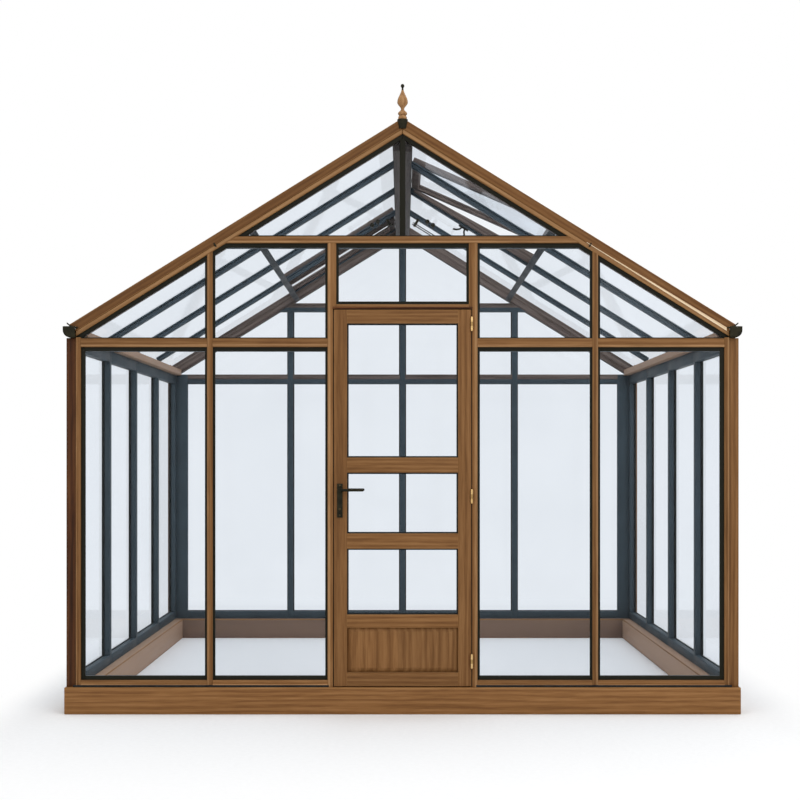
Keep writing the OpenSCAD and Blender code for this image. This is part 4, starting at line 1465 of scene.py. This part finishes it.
@dataclass
class Door:
    """The panelled door: leaf, panel, gaskets, hinges, lock plates and lever."""

    timber_easing: float = 0.0018
    face_y: Span = (-0.053, -0.009)
    seam_x: float = -0.0256
    seam_easing: float = 0.0012
    seam_angle: float = 12.0
    half_light: float = 0.296
    lights: tuple[Span, ...] = ((0.529, 0.881), (0.961, 1.286), (1.366, 2.081))
    glass_y: Span = (-0.033, -0.029)
    gasket: tuple[Span, ...] = ((0.0, 0.0), (0.008, 0.0), (0.008, 0.002), (0.0048, 0.005), (0.0, 0.006))
    lock_x: float = -0.334
    lock_z: Span = (1.047, 1.227)
    lock_t: float = 0.005
    lock_easing: float = 0.0016
    screw_inset: Span = (0.012, -0.010)
    screw_r: float = 0.0045
    screw_h: float = 0.0022
    key_rise: float = 0.045
    key_proud: float = 0.004
    key_profile: tuple[Span, ...] = ((0.0066, 0.0), (0.0066, 0.0012), (0.0056, 0.0022), (0.0, 0.0022))
    key_slot: tuple[Point, Point] = ((-0.0012, -0.0042, 0.0015), (0.0012, 0.0042, 0.0026))
    lever_z: float = 1.193
    collar_gap: float = 0.0002
    collar_profile: tuple[Span, ...] = (
        (0.0130, 0.0004), (0.0134, 0.0020), (0.0128, 0.0050),
        (0.0108, 0.0062), (0.0104, 0.0090), (0.0088, 0.0100),
    )
    strip_half: float = 0.372
    strip_y: Span = (-0.0545, -0.050)
    strip_z: Span = (2.1595, 2.169)
    strip_easing: float = 0.001

    def build(self) -> None:
        """Dresses the leaf and adds its fittings."""
        ease_timber("door_stiles", Grain.ALONG_Z, self.timber_easing, body=Body.DOOR)
        ease_timber("door_rails", Grain.ALONG_X, self.timber_easing, body=Body.DOOR)
        self.panel()
        dress("door_panes", GLASS)
        dress("door_threshold", COAT)
        dress("hinge_frame_leaves", BRASS)
        dress("hinge_door_leaves", DULL_BRASS)
        ease_metal("lock_plates", self.lock_easing, Slot.BRONZE, BRONZE, Body.DOOR)
        dress("lever", BRONZE)
        self.gaskets()
        self.lock_fittings()
        self.lever_collars()
        self.transom_shade_strip()

    def board(self, side: Side) -> bpy.types.Mesh:
        """Cuts one board of the panel at the seam.

        Args:
            side: The side of the seam that is kept.

        Returns:
            The board's mesh.
        """
        bm = Mesh().of_node("door_panel").bm
        cut = bmesh.ops.bisect_plane(
            bm,
            geom=bm.verts[:] + bm.edges[:] + bm.faces[:],
            plane_co=(self.seam_x, 0, 0),
            plane_no=(-side.value, 0, 0),
            clear_outer=True,
        )
        edges = [item for item in cut["geom_cut"] if isinstance(item, bmesh.types.BMEdge)]
        bmesh.ops.contextual_create(bm, geom=edges)
        made = bpy.data.meshes.new("panel_board")
        bm.to_mesh(made)
        bm.free()
        return made

    def panel(self) -> None:
        """Splits the panel into two boards with a chamfered seam."""
        mesh = Mesh()
        for side in Side:
            board = self.board(side)
            mesh.bm.from_mesh(board)
            bpy.data.meshes.remove(board)
        mesh.eased(self.seam_easing, 2, self.seam_angle)
        finishes = (TIMBER[Grain.ALONG_Z], EDGE_TIMBER[Grain.ALONG_Z])
        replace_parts(mesh.piece("door_panel_boards", Body.DOOR, Slot.TIMBER, *finishes), "door_panel")

    def gaskets(self) -> None:
        """Adds a rounded gasket round each door pane, on both faces."""
        mesh = Mesh()
        half = self.half_light
        for low, high in self.lights:
            corners = ((-half, low, 1, 1), (half, low, -1, 1), (half, high, -1, -1), (-half, high, 1, -1))
            for y, outlook in zip(self.glass_y, Outlook):
                rings = [
                    [Vector((x + dx * u, y + outlook.value * v, z + dz * u)) for u, v in self.gasket]
                    for x, z, dx, dz in corners
                ]
                mesh.loft(rings + rings[:1], closed=False)
        bmesh.ops.remove_doubles(mesh.bm, verts=mesh.bm.verts, dist=1e-6)
        mesh.piece("door_gaskets", Body.DOOR, Slot.BRONZE, RUBBER)

    def lock_fittings(self) -> None:
        """Adds screws and key cylinders to the lock plates."""
        cylinders, screws = Mesh(), Mesh()
        for face, outlook in zip(self.face_y, Outlook):
            y = face + outlook.value * self.lock_t
            for end, inset in zip(self.lock_z, self.screw_inset):
                screw(screws, outlook.frame((self.lock_x, y, end + inset)), self.screw_r, self.screw_h)
            key_y = y + outlook.value * self.key_proud
            seat = outlook.frame((self.lock_x, key_y, self.lock_z[0] + self.key_rise))
            cylinders.turned(self.key_profile, seat, segments=24)
            screws.slab(*self.key_slot, seat)
        cylinders.piece("key_cylinders", Body.DOOR, Slot.BRONZE, AGED_BRONZE)
        screws.piece("lock_screws", Body.DOOR, Slot.BRONZE, AGED_BRONZE)

    def lever_collars(self) -> None:
        """Adds a stepped collar round each neck of the lever."""
        mesh = Mesh()
        for face, outlook in zip(self.face_y, Outlook):
            y = face + outlook.value * (self.lock_t + self.collar_gap)
            mesh.turned(self.collar_profile, outlook.frame((self.lock_x, y, self.lever_z)), segments=28)
        mesh.piece("lever_collars", Body.LEVER, Slot.BRONZE, BRONZE)

    def transom_shade_strip(self) -> None:
        """Adds a dark strip below the transom, over the door's top edge, as painted shade for the shaded
        underside of the lintel.
        """
        low, high = zip((-self.strip_half, self.strip_half), self.strip_y, self.strip_z)
        # Painted shade: the strip takes the shaded timber, for the shade under the transom.
        dark = SHADED_TIMBER[Grain.ALONG_X]
        mesh = Mesh().slab(low, high).eased(self.strip_easing)
        mesh.piece("door_transom_shade_strip", Body.HOUSE, Slot.TIMBER, dark, dark)


@dataclass(frozen=True)
class SoftBox:
    """A square lamp that the camera doesn't see; its power is in watts."""

    name: str
    at: Point
    to: Point
    size: float
    power: float

    def hang(self) -> None:
        """Hangs the lamp in its place and turns it to what it lights."""
        light = bpy.data.lights.new(self.name, "AREA")
        light.shape = "SQUARE"
        light.size = self.size
        light.energy = self.power
        made = bpy.data.objects.new(self.name, light)
        made.location = self.at
        made.rotation_euler = (Vector(self.to) - Vector(self.at)).to_track_quat("-Z", "Y").to_euler()
        made.visible_camera = False
        bpy.context.scene.collection.objects.link(made)


@dataclass
class Studio:
    """A white room with a pale floor, soft lamps and a level camera."""

    floor_half: float = 30.0
    floor_reach: Span = (0.5, 2.6)
    floor_shade: float = 0.25
    floor_low: Colour = (0.90, 0.897, 0.895)
    floor_high: Colour = (0.93, 0.927, 0.925)
    white: Colour = (1.0, 1.0, 1.0)
    sky: Colour = (0.97, 0.985, 1.0)
    ambient: float = 0.70
    lamps: tuple[SoftBox, ...] = (
        SoftBox("key", (6.4, -11.5, 7.6), (0.2, 0.6, 1.2), 9.0, 500.0),
        SoftBox("fill", (-7.0, -9.0, 4.0), (0.0, 0.6, 1.3), 6.0, 100.0),
        SoftBox("top", (0.8, 1.0, 8.0), (0.0, 1.3, 0.0), 7.0, 330.0),
    )
    camera_at: Point = (0.0, -6.745, 1.353)
    focal: float = 56.555
    sensor: float = 36.0
    shift: Span = (-0.0032, 0.075)
    sight: float = 200.0

    def build(self) -> None:
        """Builds the floor, the world, the lamps and the camera."""
        self.floor()
        self.world()
        for lamp in self.lamps:
            lamp.hang()
        self.camera()

    def floor(self) -> None:
        """Adds the floor on which the house stands."""
        half = self.floor_half
        corners = [(-half, -half, 0), (half, -half, 0), (half, half, 0), (-half, half, 0)]
        mesh = bpy.data.meshes.new("floor")
        mesh.from_pydata(corners, [], [(0, 1, 2, 3)])
        mesh.materials.append(self.floor_finish())
        made = bpy.data.objects.new("floor", mesh)
        bpy.context.scene.collection.objects.link(made)

    def floor_finish(self) -> bpy.types.Material:
        """Builds the floor's material, which fades into the white of the room away from the house.

        Returns:
            The material.
        """
        graph = ShaderGraph.of_material("pale_floor")
        x, y, _ = graph.axes()
        beside = self.beyond(graph, x, 0.0, HOUSE.side_x, self.floor_reach[0])
        before = self.beyond(graph, y, HOUSE.middle_y, HOUSE.back_y - HOUSE.middle_y, self.floor_reach[1])
        values = {"Value": graph.greatest(beside, before), "From Min": self.floor_shade}
        fade = graph.node("ShaderNodeMapRange", values, interpolation_type="SMOOTHSTEP").outputs[0]
        grit = graph.noise(graph.place(), 40.0, 3)
        matt = graph.shader(
            Base_Color=graph.ramp(grit, ((0.3, self.floor_low), (0.7, self.floor_high))),
            Roughness=0.9,
            Specular_IOR_Level=0.0,
        )
        white = graph.node("ShaderNodeEmission", {"Color": (*self.white, 1), "Strength": 1.0})
        share = graph.times(fade, graph.seen())
        surface = graph.node("ShaderNodeMixShader", {0: share, 1: matt.outputs[0], 2: white.outputs[0]})
        return graph.close(surface.outputs[0])

    def beyond(self, graph: ShaderGraph, place: Socket, middle: float, half: float, reach: float) -> Socket:
        """Tells how far a place of the floor lies beyond a wall of the house.

        Args:
            graph: The floor's graph.
            place: The coordinate across the wall.
            middle: The house's middle along it.
            half: Half the house's width along it.
            reach: The distance that counts as 1.

        Returns:
            The distance as a share of the reach.
        """
        out = graph.less(graph.unsigned(graph.less(place, middle)), half)
        return graph.combine(out, reach, "DIVIDE")

    def world(self) -> None:
        """Sets a white surround that lights the house softly."""
        graph = ShaderGraph(bpy.data.worlds.new("white_room"))
        soft = graph.node("ShaderNodeBackground", {"Color": (*self.sky, 1), "Strength": self.ambient})
        white = graph.node("ShaderNodeBackground", {"Color": (*self.white, 1), "Strength": 1.0})
        links = {0: graph.seen(), 1: soft.outputs[0], 2: white.outputs[0]}
        bpy.context.scene.world = graph.close(graph.node("ShaderNodeMixShader", links).outputs[0])

    def camera(self) -> None:
        """Adds the level camera in front of the door."""
        lens = bpy.data.cameras.new("camera")
        lens.lens = self.focal
        lens.sensor_width = self.sensor
        lens.shift_x, lens.shift_y = self.shift
        lens.clip_end = self.sight
        made = bpy.data.objects.new("camera", lens)
        made.location = self.camera_at
        made.rotation_euler = (math.pi / 2, 0, 0)
        bpy.context.scene.collection.objects.link(made)
        bpy.context.scene.camera = made


def main() -> None:
    """Builds the greenhouse's looks and its studio."""
    logging.basicConfig(level=logging.INFO, format="%(message)s")
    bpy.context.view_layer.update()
    for assembly in (TimberBase(), Walls(), GableEdges(), Roof(), RoofVents(), Finials(), Door(), Studio()):
        LOG.info("building %s", type(assembly).__name__)
        assembly.build()
    bpy.context.scene.view_settings.view_transform = "Standard"
    bpy.context.view_layer.update()


if __name__ == "__main__":
    main()
